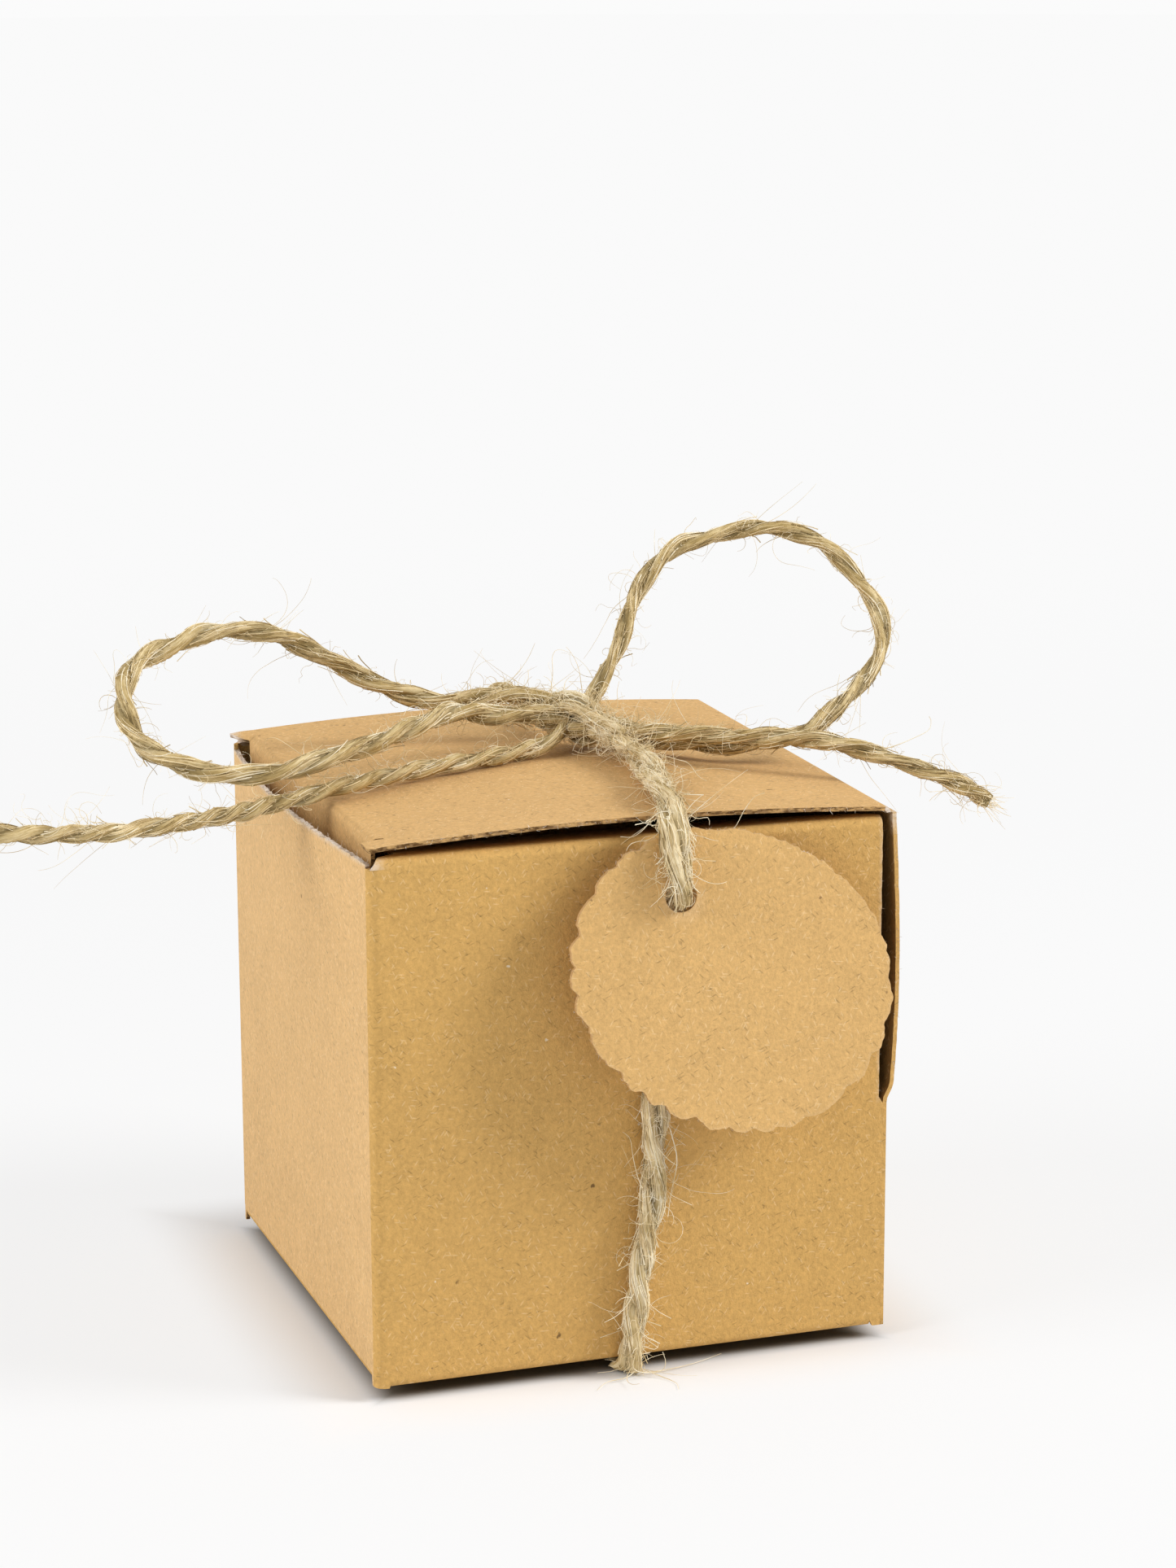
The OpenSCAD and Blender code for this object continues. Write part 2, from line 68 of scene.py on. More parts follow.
TUCK_HALF = 22.0       # half the width of the tuck flap
ROLL_R = 0.6           # the fold over to the tuck flap, with its middle at ROLL_X and ROLL_Z
ROLL_X = -23.3
ROLL_Z = 51.7
TAG_HOLE = Vector((2.9, -28.4, 46.4))
TWINE = 2.0            # thickness of the twine
THIN = 0.022           # radius of a fine jute fibre


# ---- Camera ----

CAMERA_SPOT = Vector((-115.36, -350.30, 138.25))
CAMERA_YAW = 0.3285    # to the right of straight back, in radians
CAMERA_PITCH = 0.2336  # downwards
CAMERA_ROLL = -0.003
CAMERA_LENS = 120.87   # focal length for a sensor 36 mm wide


def place_camera():
    level = math.cos(CAMERA_PITCH)
    look = Vector((math.sin(CAMERA_YAW) * level, math.cos(CAMERA_YAW) * level, -math.sin(CAMERA_PITCH)))
    right = Vector((math.cos(CAMERA_YAW), -math.sin(CAMERA_YAW), 0))
    up = right.cross(look)
    turned_right = right * math.cos(CAMERA_ROLL) + up * math.sin(CAMERA_ROLL)
    turned_up = up * math.cos(CAMERA_ROLL) - right * math.sin(CAMERA_ROLL)
    lens = bpy.data.cameras.new("studio_camera")
    lens.sensor_fit = "HORIZONTAL"
    lens.sensor_width = 36
    lens.lens = CAMERA_LENS
    lens.clip_start = 0.01
    camera = bpy.data.objects.new("studio_camera", lens)
    bpy.context.scene.collection.objects.link(camera)
    turn = Matrix((turned_right, turned_up, -look)).transposed()
    camera.matrix_world = Matrix.Translation(CAMERA_SPOT * MM) @ turn.to_4x4()
    bpy.context.scene.camera = camera


place_camera()


# ---- Finishes ----

def feed(tree, socket, value):
    """Sets a socket to a value, or links it to the output of another node."""
    if isinstance(value, bpy.types.NodeSocket):
        tree.links.new(value, socket)
    else:
        socket.default_value = value


def put(tree, kind, values=None, **settings):
    """Adds a node with these values in its sockets and these settings."""
    node = tree.nodes.new(kind)
    for key, value in settings.items():
        setattr(node, key, value)
    for key, value in (values or {}).items():
        feed(tree, node.inputs[key], value)
    return node


class Finish:
    """A material that is put together node by node."""

    def __init__(self, name, roughness, shine=0.5):
        self.material = bpy.data.materials.new(name)
        self.material.use_nodes = True
        self.tree = self.material.node_tree
        self.surface = self.tree.nodes["Principled BSDF"]
        self.surface.inputs["Roughness"].default_value = roughness
        self.surface.inputs["Specular IOR Level"].default_value = shine
        self.place = self.add("ShaderNodeTexCoord").outputs["Object"]

    def add(self, kind, values=None, **settings):
        return put(self.tree, kind, values, **settings)

    def paint(self, colour):
        feed(self.tree, self.surface.inputs["Base Color"], colour)

    def measured(self, name):
        """A value that the mesh carries at its points."""
        return self.add("ShaderNodeAttribute", attribute_name=name).outputs["Fac"]

    def calc(self, operation, *values):
        return self.add("ShaderNodeMath", dict(enumerate(values)), operation=operation).outputs[0]

    def gather(self, value, *parts):
        """Adds each pattern, times its weight, to the value."""
        for pattern, weight in parts:
            value = self.calc("MULTIPLY_ADD", pattern, weight, value)
        return value

    def mix(self, share, one, two, blend="MIX"):
        node = self.add("ShaderNodeMix", {0: share, 6: one, 7: two}, data_type="RGBA", blend_type=blend)
        return node.outputs[2]

    def grain(self, scale, detail=2.0, rough=0.5, where=None, distort=0.0):
        node = self.add("ShaderNodeTexNoise", {
            "Vector": where or self.place, "Scale": scale,
            "Detail": detail, "Roughness": rough, "Distortion": distort})
        return node.outputs[0]

    def ramp(self, value, low, high):
        node = self.add("ShaderNodeMapRange", {"Value": value, "From Min": low, "From Max": high},
                        interpolation_type="SMOOTHSTEP")
        return node.outputs[0]

    def moved(self, offset, scale=(1, 1, 1)):
        node = self.add("ShaderNodeMapping", {"Vector": self.place, "Location": offset, "Scale": scale})
        return node.outputs[0]

    def flecks(self, scale, size, rarity, offset):
        """Small uneven flecks: one in some of the cells of a cell pattern."""
        where = self.moved(offset)
        rough = self.add("ShaderNodeTexNoise", {"Vector": where, "Scale": scale * 4.0, "Detail": 2.0})
        shake = self.add("ShaderNodeVectorMath", {
            0: rough.outputs["Color"], "Scale": 0.28 / scale}, operation="SCALE")
        shaken = self.add("ShaderNodeVectorMath", {0: where, 1: shake.outputs[0]}, operation="ADD")
        cells = self.add("ShaderNodeTexVoronoi", {"Vector": shaken.outputs[0], "Scale": scale})
        chance = self.add("ShaderNodeSeparateColor", {"Color": cells.outputs["Color"]})
        chosen = self.calc("GREATER_THAN", chance.outputs[0], rarity)
        reach = self.calc("MULTIPLY_ADD", chance.outputs[1], size, size * 0.3)
        spot = self.calc("SUBTRACT", 1.0, self.ramp(self.calc(
            "DIVIDE", cells.outputs["Distance"], reach), 0.5, 1.0))
        return self.calc("MULTIPLY", spot, chosen)

    def short_fibres(self, scale, rarity, turn, offset):
        """Short straight fibres: stretched spots in some of the cells of a cell pattern."""
        where = self.add("ShaderNodeMapping", {
            "Vector": self.place, "Location": offset, "Rotation": turn,
            "Scale": (1, 6, 6)}, vector_type="TEXTURE").outputs[0]
        cells = self.add("ShaderNodeTexVoronoi", {"Vector": where, "Scale": scale})
        chance = self.add("ShaderNodeSeparateColor", {"Color": cells.outputs["Color"]})
        chosen = self.calc("GREATER_THAN", chance.outputs[0], rarity)
        spot = self.calc("SUBTRACT", 1.0, self.ramp(cells.outputs["Distance"], 0.10, 0.30))
        return self.calc("MULTIPLY", spot, chosen)

    def threads(self, scale, width, offset, gate_scale):
        """Short wandering fibres: broken stretches of the level lines of a soft noise."""
        where = self.moved(offset)
        wander = self.grain(scale, 1.0, 0.5, where, 0.4)
        off_line = self.calc("ABSOLUTE", self.calc("SUBTRACT", wander, 0.5))
        line = self.calc("SUBTRACT", 1.0, self.ramp(off_line, width * 0.3, width))
        gate = self.ramp(self.grain(gate_scale, 1.0, 0.5, where), 0.52, 0.62)
        return self.calc("MULTIPLY", line, gate)

    def bump(self, height, strength, distance):
        node = self.add("ShaderNodeBump", {"Height": height, "Strength": strength, "Distance": distance})
        feed(self.tree, self.surface.inputs["Normal"], node.outputs[0])


def kraft(name, tone):
    """Unbleached card: cloudy pulp with light and dark fibres and a few flecks."""
    finish = Finish(name, 0.80, 0.22)
    clouds = finish.grain(150, 3.0, 0.55)
    pulp = finish.grain(2700, 3.0, 0.62)
    dust = finish.grain(6500, 2.0, 0.6)
    grain = finish.grain(2300, 2.0, 0.55, finish.moved((0.4, 0.1, 0.2), (1.0, 0.75, 0.6)), 0.5)
    drawn = finish.grain(900, 2.0, 0.5, finish.moved((0, 0, 0), (1, 1, 0.10)))
    light = finish.threads(1000, 0.012, (0.31, 0.17, 0.05), 800)
    dark = finish.threads(760, 0.010, (0.07, 0.41, 0.23), 600)
    soft = ((clouds, 0.14), (pulp, 0.52), (dust, 0.22), (grain, 0.20), (drawn, 0.06))
    even_level = 1.0 - sum(0.5 * weight for _, weight in soft)
    value = finish.gather(even_level, *soft, (light, 0.13), (dark, -0.20))
    pale = 0.0
    for turn, offset in (((0.6, 0.5, 0.7), 0.11), ((-0.7, -0.4, -0.5), 0.29), ((0.3, -0.9, 1.4), 0.47)):
        fibres = finish.short_fibres(4600, 0.70, turn, (offset, 0.3 - offset, offset * 2))
        pale = finish.calc("MAXIMUM", pale, fibres)
    value = finish.gather(value, (pale, 0.12))
    for turn, offset in (((0.9, -0.6, -0.9), 0.83), ((-0.4, 1.1, 0.6), 0.61)):
        shaded = finish.short_fibres(4200, 0.72, turn, (offset, 0.9 - offset, offset * 3))
        value = finish.gather(value, (shaded, -0.27))
    grey = finish.add("ShaderNodeCombineColor", {"Red": value, "Green": value, "Blue": value}).outputs[0]
    colour = finish.mix(1.0, tone, grey, "MULTIPLY")
    colour = finish.mix(finish.calc("MULTIPLY", pale, 0.30), colour, (0.82, 0.66, 0.42, 1))
    for scale, size, rarity, offset, tint in (
            (300, 0.10, 0.86, (0.02, 0.03, 0.01), (0.20, 0.115, 0.04, 1)),
            (640, 0.12, 0.88, (0.21, 0.13, 0.31), (0.34, 0.20, 0.08, 1)),
            (560, 0.075, 0.88, (0.11, 0.33, 0.27), (0.78, 0.64, 0.44, 1))):
        colour = finish.mix(finish.flecks(scale, size, rarity, offset), colour, tint)
    rubbed = finish.calc("MULTIPLY", finish.measured("worn"), finish.ramp(pulp, 0.25, 0.62))
    finish.paint(finish.mix(rubbed, colour, (0.70, 0.56, 0.41, 1)))
    finish.bump(finish.gather(pulp, (dust, 0.45), (grain, 0.8), (light, 0.30)), 0.6, 0.00010)
    return finish.material


def cut_card():
    """The raw edge of the card, where the shears left its fibres open."""
    finish = Finish("cut_card_edge", 0.9, 0.15)
    fibre = finish.grain(5200, 3.0, 0.6, finish.moved((0, 0, 0), (0.22, 0.22, 1.0)))
    patch = finish.grain(1400, 2.0, 0.5)
    colour = finish.mix(finish.ramp(fibre, 0.40, 0.58), (0.12, 0.060, 0.020, 1), (0.58, 0.355, 0.14, 1))
    colour = finish.mix(finish.ramp(patch, 0.45, 0.70), colour, (0.30, 0.18, 0.08, 1))
    torn = finish.mix(finish.ramp(fibre, 0.32, 0.6), (0.42, 0.31, 0.22, 1), (0.80, 0.70, 0.60, 1))
    finish.paint(finish.mix(finish.measured("worn"), colour, torn))
    finish.bump(fibre, 0.6, 0.0001)
    return finish.material


def jute(name, deep, middle_tone, bright):
    """Jute yarn: long pale fibres with olive streaks between them, drawn along the yarn, and painted shade
    in the grooves between its plies.
    """
    finish = Finish(name, 0.70, 0.3)
    along = finish.add("ShaderNodeUVMap", uv_map="fibres").outputs[0]
    drawn = finish.add("ShaderNodeMapping", {"Vector": along, "Scale": (8, 0.26, 1)}).outputs[0]
    fine = finish.add("ShaderNodeMapping", {"Vector": along, "Scale": (26, 0.5, 1)}).outputs[0]
    streaks = finish.grain(1.0, 3.0, 0.6, drawn)
    strands = finish.grain(1.0, 3.0, 0.65, fine)
    clouds = finish.grain(300, 2.0, 0.5)
    tone = finish.calc("MULTIPLY_ADD", strands, 0.62, finish.calc("MULTIPLY", streaks, 0.7))
    tone = finish.calc("MULTIPLY_ADD", clouds, 0.38, finish.calc("SUBTRACT", tone, 0.20))
    bands = finish.add("ShaderNodeValToRGB", {"Fac": tone})
    stops = bands.color_ramp.elements
    stops[0].position, stops[0].color = 0.36, deep
    stops[1].position, stops[1].color = 0.84, bright
    stops.new(0.58).color = middle_tone
    # Painted shade: points that lie deep between the plies are darkened.
    groove_shade = finish.calc("MULTIPLY", finish.measured("groove_shade"), 0.72)
    finish.paint(finish.mix(groove_shade, bands.outputs[0], (0.12, 0.085, 0.028, 1)))
    finish.bump(finish.calc("MULTIPLY_ADD", strands, 0.7, streaks), 0.7, 0.00014)
    return finish.material


def loose_fibre(name, deep, bright):
    finish = Finish(name, 0.55)
    shade = finish.grain(420, 2.0, 0.5)
    finish.paint(finish.mix(finish.ramp(shade, 0.35, 0.65), deep, bright))
    return finish.material


KRAFT = kraft("kraft_card", (0.620, 0.370, 0.116, 1))
# Painted light: a paler copy of the card for the left wall's outer face, for the light that falls on it.
KRAFT_LIT_LEFT_FACE = kraft("kraft_lit_left_face", (0.705, 0.452, 0.203, 1))
# Painted light: a lighter, cooler copy of the card for the lid and its crease, for the light from above and
# from the white surroundings.
KRAFT_LIT_LID = kraft("kraft_lit_lid", (0.640, 0.395, 0.162, 1))
KRAFT_INSIDE = kraft("kraft_card_inside", (0.52, 0.305, 0.110, 1))
# Painted shade: a dark copy of the card for the right wall's inner side, for the dark inside of the box seen
# through the open seam.
KRAFT_PAINTED_SHADE = kraft("kraft_painted_shade_inside", (0.30, 0.165, 0.05, 1))
KRAFT_TAG = kraft("kraft_tag", (0.665, 0.410, 0.155, 1))
CUT_CARD = cut_card()
JUTE = jute("jute_yarn", (0.16, 0.105, 0.030, 1), (0.46, 0.325, 0.125, 1), (0.82, 0.665, 0.38, 1))
JUTE_PALE = jute("pale_jute_yarn", (0.20, 0.14, 0.047, 1), (0.58, 0.435, 0.205, 1), (0.92, 0.79, 0.53, 1))
LOOSE = loose_fibre("loose_jute_fibre", (0.54, 0.395, 0.18, 1), (0.88, 0.72, 0.43, 1))
LOOSE_DARK = loose_fibre("dark_loose_fibre", (0.24, 0.16, 0.052, 1), (0.46, 0.33, 0.135, 1))
LOOSE_PALE = loose_fibre("pale_loose_fibre", (0.74, 0.60, 0.35, 1), (0.95, 0.86, 0.65, 1))
PAPER_FIBRE = loose_fibre("frayed_card_fibre", (0.52, 0.38, 0.24, 1), (0.84, 0.74, 0.62, 1))


# ---- Helpers for pieces ----

def mesh_from(bm, name):
    mesh = bpy.data.meshes.new(name)
    bm.to_mesh(mesh)
    bm.free()
    mesh.shade_smooth()
    return mesh


def show(name, mesh, body, finishes):
    """Puts a mesh into the scene as a piece, and lets it ride a body if one is given."""
    piece = bpy.data.objects.new(name, mesh)
    bpy.context.scene.collection.objects.link(piece)
    for finish in finishes:
        mesh.materials.append(finish)
    if body:
        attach(piece, body)
    return piece


def finished(piece):
    """Makes the shape that a piece's modifiers give its own."""
    scene_now = bpy.context.evaluated_depsgraph_get()
    shaped = bpy.data.meshes.new_from_object(
        piece.evaluated_get(scene_now), preserve_all_data_layers=True, depsgraph=scene_now)
    piece.modifiers.clear()
    piece.data = shaped


def even(*stops):
    """Coordinates that run from stop to stop: start, then pairs of a count of steps and the next stop."""
    values = [stops[0]]
    for count, stop in zip(stops[1::2], stops[2::2]):
        start = values[-1]
        values += [start + (stop - start) * (k + 1) / count for k in range(count)]
    return values


RIM_SLOT = 1           # a sheet's materials are its outer side, its raw edge and its inner side


def card_sheet(name, columns, rows, place, worn=None, outer=KRAFT,
               inner=KRAFT_INSIDE, rim=CUT_CARD, thickness=CARD, cut=None, closed=False):
    """A sheet of card: place gives its outer surface at a column's and a row's value.

    worn gives how rubbed the card is at a place, and cut says which cells are left out.
    """
    bm = bmesh.new()
    rubbed = bm.verts.layers.float.new("worn")
    across, along = len(columns) - 1, len(rows) - 1
    bmesh.ops.create_grid(bm, x_segments=across, y_segments=along, size=0.5)
    dropped = []
    if cut:
        for face in bm.faces:
            middle = face.calc_center_median()
            i, j = int((middle.x + 0.5) * across), int((middle.y + 0.5) * along)
            if cut(0.5 * (columns[i] + columns[i + 1]), 0.5 * (rows[j] + rows[j + 1])):
                dropped.append(face)
    for vert in bm.verts:
        c, r = columns[round((vert.co.x + 0.5) * across)], rows[round((vert.co.y + 0.5) * along)]
        spot = place(c, r)
        vert[rubbed] = min(1.0, worn(c, r, spot)) if worn else 0.0
        vert.co = spot * MM
    if dropped:
        bmesh.ops.delete(bm, geom=dropped, context="FACES")
    if closed:
        bmesh.ops.remove_doubles(bm, verts=bm.verts, dist=1e-7)
    piece = show(name, mesh_from(bm, name), None, [outer, rim, inner])
    wall = piece.modifiers.new("card", "SOLIDIFY")
    wall.thickness = thickness * MM
    wall.offset = -1
    wall.use_even_offset = True
    wall.material_offset_rim = RIM_SLOT
    wall.material_offset = 2
    finished(piece)
    mark_rim(piece)
    return piece


def mark_rim(piece):
    """Keeps the raw edges of a card sheet crisp against its smooth faces."""
    bm = bmesh.new()
    bm.from_mesh(piece.data)
    for edge in bm.edges:
        kinds = {face.material_index for face in edge.link_faces}
        edge.smooth = not (RIM_SLOT in kinds and len(kinds) > 1)
    bm.to_mesh(piece.data)
    bm.free()


def ragged(a, b, size, coarse, seed):
    """A small wander for a cut edge at place a of edge b, from coarse noise and finer noise."""
    spot = Vector((a * coarse, b * coarse, seed))
    return size * (noise.noise(spot) + 0.6 * noise.noise(spot * 3.1))


def near_edge(distance, width):
    """1 at an edge, fading to 0 at the given width from it."""
    return max(0.0, 1.0 - distance / width)


# ---- Twine ----

ROUTES = {
    "front_strand": [
        (4.7, 2.4, 56.2), (5.4, 0, 55.5), (6.2, -4, 54.8), (6.3, -8, 54.4), (5.8, -12, 54.3),
        (4.9, -16.5, 54.3), (4, -21, 54.2), (3.3, -24.6, 54), (2.8, -27, 53.4), (2.4, -29, 52.3),
        (2.2, -29.6, 51), (2.4, -29.9, 49.2), (2.7, -29.8, 47.9), (2.9, -29.2, 46.9), (2.9, -28.4, 46.4),
        (2.8, -27.6, 45.9), (2.8, -27, 45), (2.6, -26.7, 43.5), (2.3, -26.5, 39), (2, -26.4, 34),
        (1.7, -26.3, 28.5), (1.4, -26.3, 23), (1.3, -26.3, 18), (0.6, -26.3, 13.5), (0, -26.3, 9.3),
        (-0.4, -26.3, 5.5), (-0.8, -26.3, 2.8), (-0.9, -26.1, 1.5), (-0.9, -25.6, 0.8), (-0.9, -24.5, 0.56)],
    "back_strand": [
        (4, 5.6, 55.6), (3.8, 9, 55.2), (3.6, 14, 54.9), (3.3, 19, 54.7), (3, 23, 54.6),
        (2.8, 25, 54.4), (2.7, 26.1, 53.8), (2.6, 26.4, 52.6), (2.5, 26.3, 50), (2.2, 26.3, 42),
        (1.9, 26.3, 32), (1.5, 26.3, 21), (1.1, 26.3, 10), (0.9, 26.3, 4), (0.9, 26.1, 2),
        (0.9, 25.6, 1), (0.9, 24.5, 0.56)],
    "bottom_strand": [(-0.9, -24.8, 0.56), (-0.3, -8, 0.56), (0.3, 8, 0.56), (0.9, 24.8, 0.56)],
    "left_loop": [
        (3, 5.4, 56.8), (1, 6.8, 57.4), (-1.6, 8, 57.8), (-7.3, 10, 57), (-13.4, 12, 58.9),
        (-18.9, 13, 62), (-23.5, 13, 64.3), (-29.5, 12, 65.2), (-34, 10, 64.5), (-37.8, 8, 63.6),
        (-39.8, 5, 62.2), (-40.6, 2, 60.4), (-40.2, -2, 58.2), (-38.3, -5, 57), (-35.3, -7, 56),
        (-31.5, -8, 55.6), (-27.5, -8, 55.8), (-23, -7, 56.6), (-18.3, -5, 57.1), (-13.2, -2, 57.8),
        (-9, 1, 58.1), (-4.4, 2.6, 57.1), (0.2, 3, 56.8), (2.8, 3.2, 56.3)],
    "right_loop": [
        (5.5, 4.8, 56.6), (7.5, 5.6, 59.2), (9.8, 7, 62.4), (11.9, 9, 66.1), (14.4, 10, 69.1),
        (17.1, 11, 70.8), (20, 11, 71.4), (23.6, 11, 72), (26.2, 10, 72.3), (28.8, 9, 71.8),
        (31.4, 8, 70.7), (33, 6, 68.9), (34.3, 4, 66.7), (35, 2, 64.8), (34.6, 0, 62.9),
        (33.3, -2, 61.1), (30.7, -4, 59.1), (27.3, -6, 57.3), (24.2, -7, 55.6), (21, -7, 54.8),
        (17.2, -6, 54.3), (13.5, -3.5, 54.2), (9.5, 0.4, 54.4), (5.8, 2.9, 54.9), (4.2, 3.9, 55.4)],
    "left_tail": [
        (3.4, 3, 55.7), (2.2, 2, 55.2), (0.4, 0.8, 54.5), (-1.8, 0, 54.1), (-5.6, -1.4, 53.95),
        (-9.5, -2.6, 53.95), (-13.3, -3.8, 53.9), (-17.4, -5.2, 53.8), (-22.3, -7.2, 53.7),
        (-26.6, -8.3, 53.2), (-30.3, -8.6, 52.7), (-34.6, -9.2, 52.3), (-38.9, -10, 52.1),
        (-44.5, -11, 52.1), (-50, -12, 52.6), (-55.3, -13, 53.3), (-58.3, -13.5, 53.8)],
    "right_tail": [
        (5, 2.4, 56), (6.7, 0.4, 55.7), (8.6, -2, 55.5), (11.8, -5, 55.6), (16.4, -8, 55.6),
        (20.9, -11, 55.8), (24.4, -13, 55.5), (27.9, -15, 54.5), (31.5, -16.5, 53.2), (35.5, -17.5, 51.5),
        (38.1, -18, 49.8)],
    "bow_knot": [
        (2.0, 6.4, 54.6), (2.2, 6.0, 56.0), (2.8, 5.0, 57.1), (3.6, 3.4, 57.4), (4.3, 1.8, 57.0),
        (4.9, 0.3, 56.2), (5.5, -1.6, 55.6), (6.0, -3.6, 55.2)],
    "knot_heart": [
        (2.4, 4.8, 55.3), (2.9, 3.2, 55.2), (3.5, 1.7, 54.9), (4.5, 1.1, 54.9), (5.3, 2.2, 55.2),
        (5.8, 3.8, 55.3)],
}


class Line:
    """A smooth line through a route's points, at even steps, with a frame at each step."""

    def __init__(self, points, step=0.25):
        points = [Vector(p) for p in points]
        ends = [points[0] * 2 - points[1]] + points + [points[-1] * 2 - points[-2]]
        dense = []
        for a, b, c, d in zip(ends, ends[1:], ends[2:], ends[3:]):
            count = max(4, int((c - b).length / 0.1))
            for k in range(count):
                t = k / count
                dense.append(0.5 * (2 * b + (c - a) * t + (2 * a - 5 * b + 4 * c - d) * t * t
                                    + (3 * b - a - 3 * c + d) * t ** 3))
        dense.append(points[-1])
        lengths = [0.0]
        for a, b in zip(dense, dense[1:]):
            lengths.append(lengths[-1] + (b - a).length)
        self.length = lengths[-1]
        self.count = max(2, round(self.length / step)) + 1
        self.points = []
        k = 0
        for i in range(self.count):
            goal = self.length * i / (self.count - 1)
            while k < len(dense) - 2 and lengths[k + 1] < goal:
                k += 1
            share = (goal - lengths[k]) / max(1e-9, lengths[k + 1] - lengths[k])
            self.points.append(dense[k].lerp(dense[k + 1], min(1.0, share)))
        self.aims = []
        for i in range(self.count):
            aim = self.points[min(i + 1, self.count - 1)] - self.points[max(i - 1, 0)]
            self.aims.append(aim.normalized())
        side = self.aims[0].orthogonal().normalized()
        self.sides = [side]
        for one, two in zip(self.aims, self.aims[1:]):
            side = one.rotation_difference(two) @ side
            side = (side - two * side.dot(two)).normalized()
            self.sides.append(side)
        self.ups = [a.cross(s) for a, s in zip(self.aims, self.sides)]

    def out(self, i, angle):
        """The way out of the line at a step, at an angle round it."""
        return self.sides[i] * math.cos(angle) + self.ups[i] * math.sin(angle)


LINES = {name: Line(points) for name, points in ROUTES.items()}
AROUND = 18            # faces round a ply
DRIFT = 0.75           # share of a ply's turn by which its fibres wind round it


def settle_on_floor(middle, spot):
    """Presses a point of the twine flat where the twine runs close to the floor.

    room is how much of the twine's half thickness fits between its middle and the floor.
    """
    room = (middle.z - 0.03) / (TWINE * 0.54)
    if room >= 1:
        return spot
    offset = spot - middle
    spot = middle + Vector((offset.x * (1.5 - 0.5 * room), offset.y, offset.z * room))
    return Vector((spot.x, spot.y, max(0.01, spot.z)))


class Yarn:
    """Plies of jute laid round each other to the left. lay is the length of one turn.

    offset is how far a ply's middle lies from the twine's, and loose gives how open the plies lie.
    """

    def __init__(self, name, lay, ply_r=0.6, offset=0.40, plies=2, seed=1, loose=None, pale=False,
                 cut_end=False):
        self.name, self.line, self.plies, self.seed = name, LINES[name], plies, seed
        self.ply_r, self.offset, self.pale, self.cut_end = ply_r, offset, pale, cut_end
        self.turns, self.open = [0.0], []
        step = self.line.length / (self.line.count - 1)
        for i in range(self.line.count):
            opened = loose(i / (self.line.count - 1)) if loose else 0.0
            self.open.append(opened)
            uneven = noise.noise(Vector((i * step * 0.09, seed * 5.1, 0)))
            slower = lay * (1 + 2.6 * opened) * (1 + 0.55 * uneven)
            self.turns.append(self.turns[-1] - 2 * math.pi * step / slower)
        self.step = step

    def ply_middle(self, i, ply):
        s = i * self.step
        turn = self.turns[i] + 2 * math.pi * ply / self.plies
        apart = self.offset * (1 + 0.3 * noise.noise(Vector((s * 0.3, self.seed, ply * 3.3))))
        return self.line.out(i, turn) * apart * (1 + 0.35 * self.open[i]), turn

    def ply_radius(self, i, ply):
        s = i * self.step
        slow = noise.noise(Vector((s * 0.21, ply * 9.1, self.seed * 2.7)))
        quick = noise.noise(Vector((s * 0.7, ply * 4.3, self.seed * 1.9)))
        narrow = 1.0
        if self.cut_end:
            narrow = min(1.0, 0.65 + 0.35 * (self.line.length - s))
        return self.ply_r * (1 + 0.17 * slow + 0.08 * quick) * (1 + 0.25 * self.open[i]) * narrow

    def surface(self, i, ply, angle, raise_by=1.0):
        """A point on a ply: angle is measured round the ply, from the outside of the twine."""
        s = i * self.step
        middle, turn = self.ply_middle(i, ply)
        own = angle + turn * DRIFT + ply * 2.0
        a, b = math.cos(own), math.sin(own)
        z = self.seed * 3.1 + s * 0.10
        radius = self.ply_radius(i, ply)
        radius *= 1 + (0.20 * noise.noise(Vector((a * 2.1, b * 2.1, z)))
                       + 0.15 * noise.noise(Vector((a * 4.6, b * 4.6, z * 1.7)))
                       + 0.10 * noise.noise(Vector((a * 9.5, b * 9.5, z * 2.9))))
        spot = self.line.points[i] + middle + self.line.out(i, turn + angle) * radius * raise_by
        return settle_on_floor(self.line.points[i], spot)


def twisted_twine(yarn):
    """The plies of one stretch of twine, with closed ends. How deep each point lies between the plies is
    kept, for the painted shade in the grooves there.
    """
    line = yarn.line
    bm = bmesh.new()
    fibres = bm.loops.layers.uv.new("fibres")
    groove_shade = bm.verts.layers.float.new("groove_shade")
    last = line.count - 1
    for ply in range(yarn.plies):
        verts = bmesh.ops.create_grid(bm, x_segments=AROUND, y_segments=last, size=0.5)["verts"]
        for vert in verts:
            u, i = vert.co.x + 0.5, round((vert.co.y + 0.5) * last)
            drift = yarn.turns[i] * DRIFT / (2 * math.pi)
            for loop in vert.link_loops:
                loop[fibres].uv = (u + drift + ply * 1.7, i * yarn.step + yarn.seed * 7.3)
        for vert in verts:
            u, i = vert.co.x + 0.5, round((vert.co.y + 0.5) * last)
            spot = yarn.surface(i, ply, 2 * math.pi * u)
            depth = (spot - line.points[i]).length / (yarn.offset + yarn.ply_r * 0.75)
            vert[groove_shade] = min(1.0, max(0.0, 1.15 - depth) * 2.0)
            vert.co = spot * MM
    bmesh.ops.remove_doubles(bm, verts=bm.verts, dist=1e-7)
    bmesh.ops.holes_fill(bm, edges=bm.edges, sides=0)
    bmesh.ops.recalc_face_normals(bm, faces=bm.faces)
    name = yarn.name + "_twine"
    finish = JUTE_PALE if yarn.pale else JUTE
    piece = show(name, mesh_from(bm, name), "twine", [finish])
    if yarn.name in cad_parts:
        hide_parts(yarn.name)
    return piece


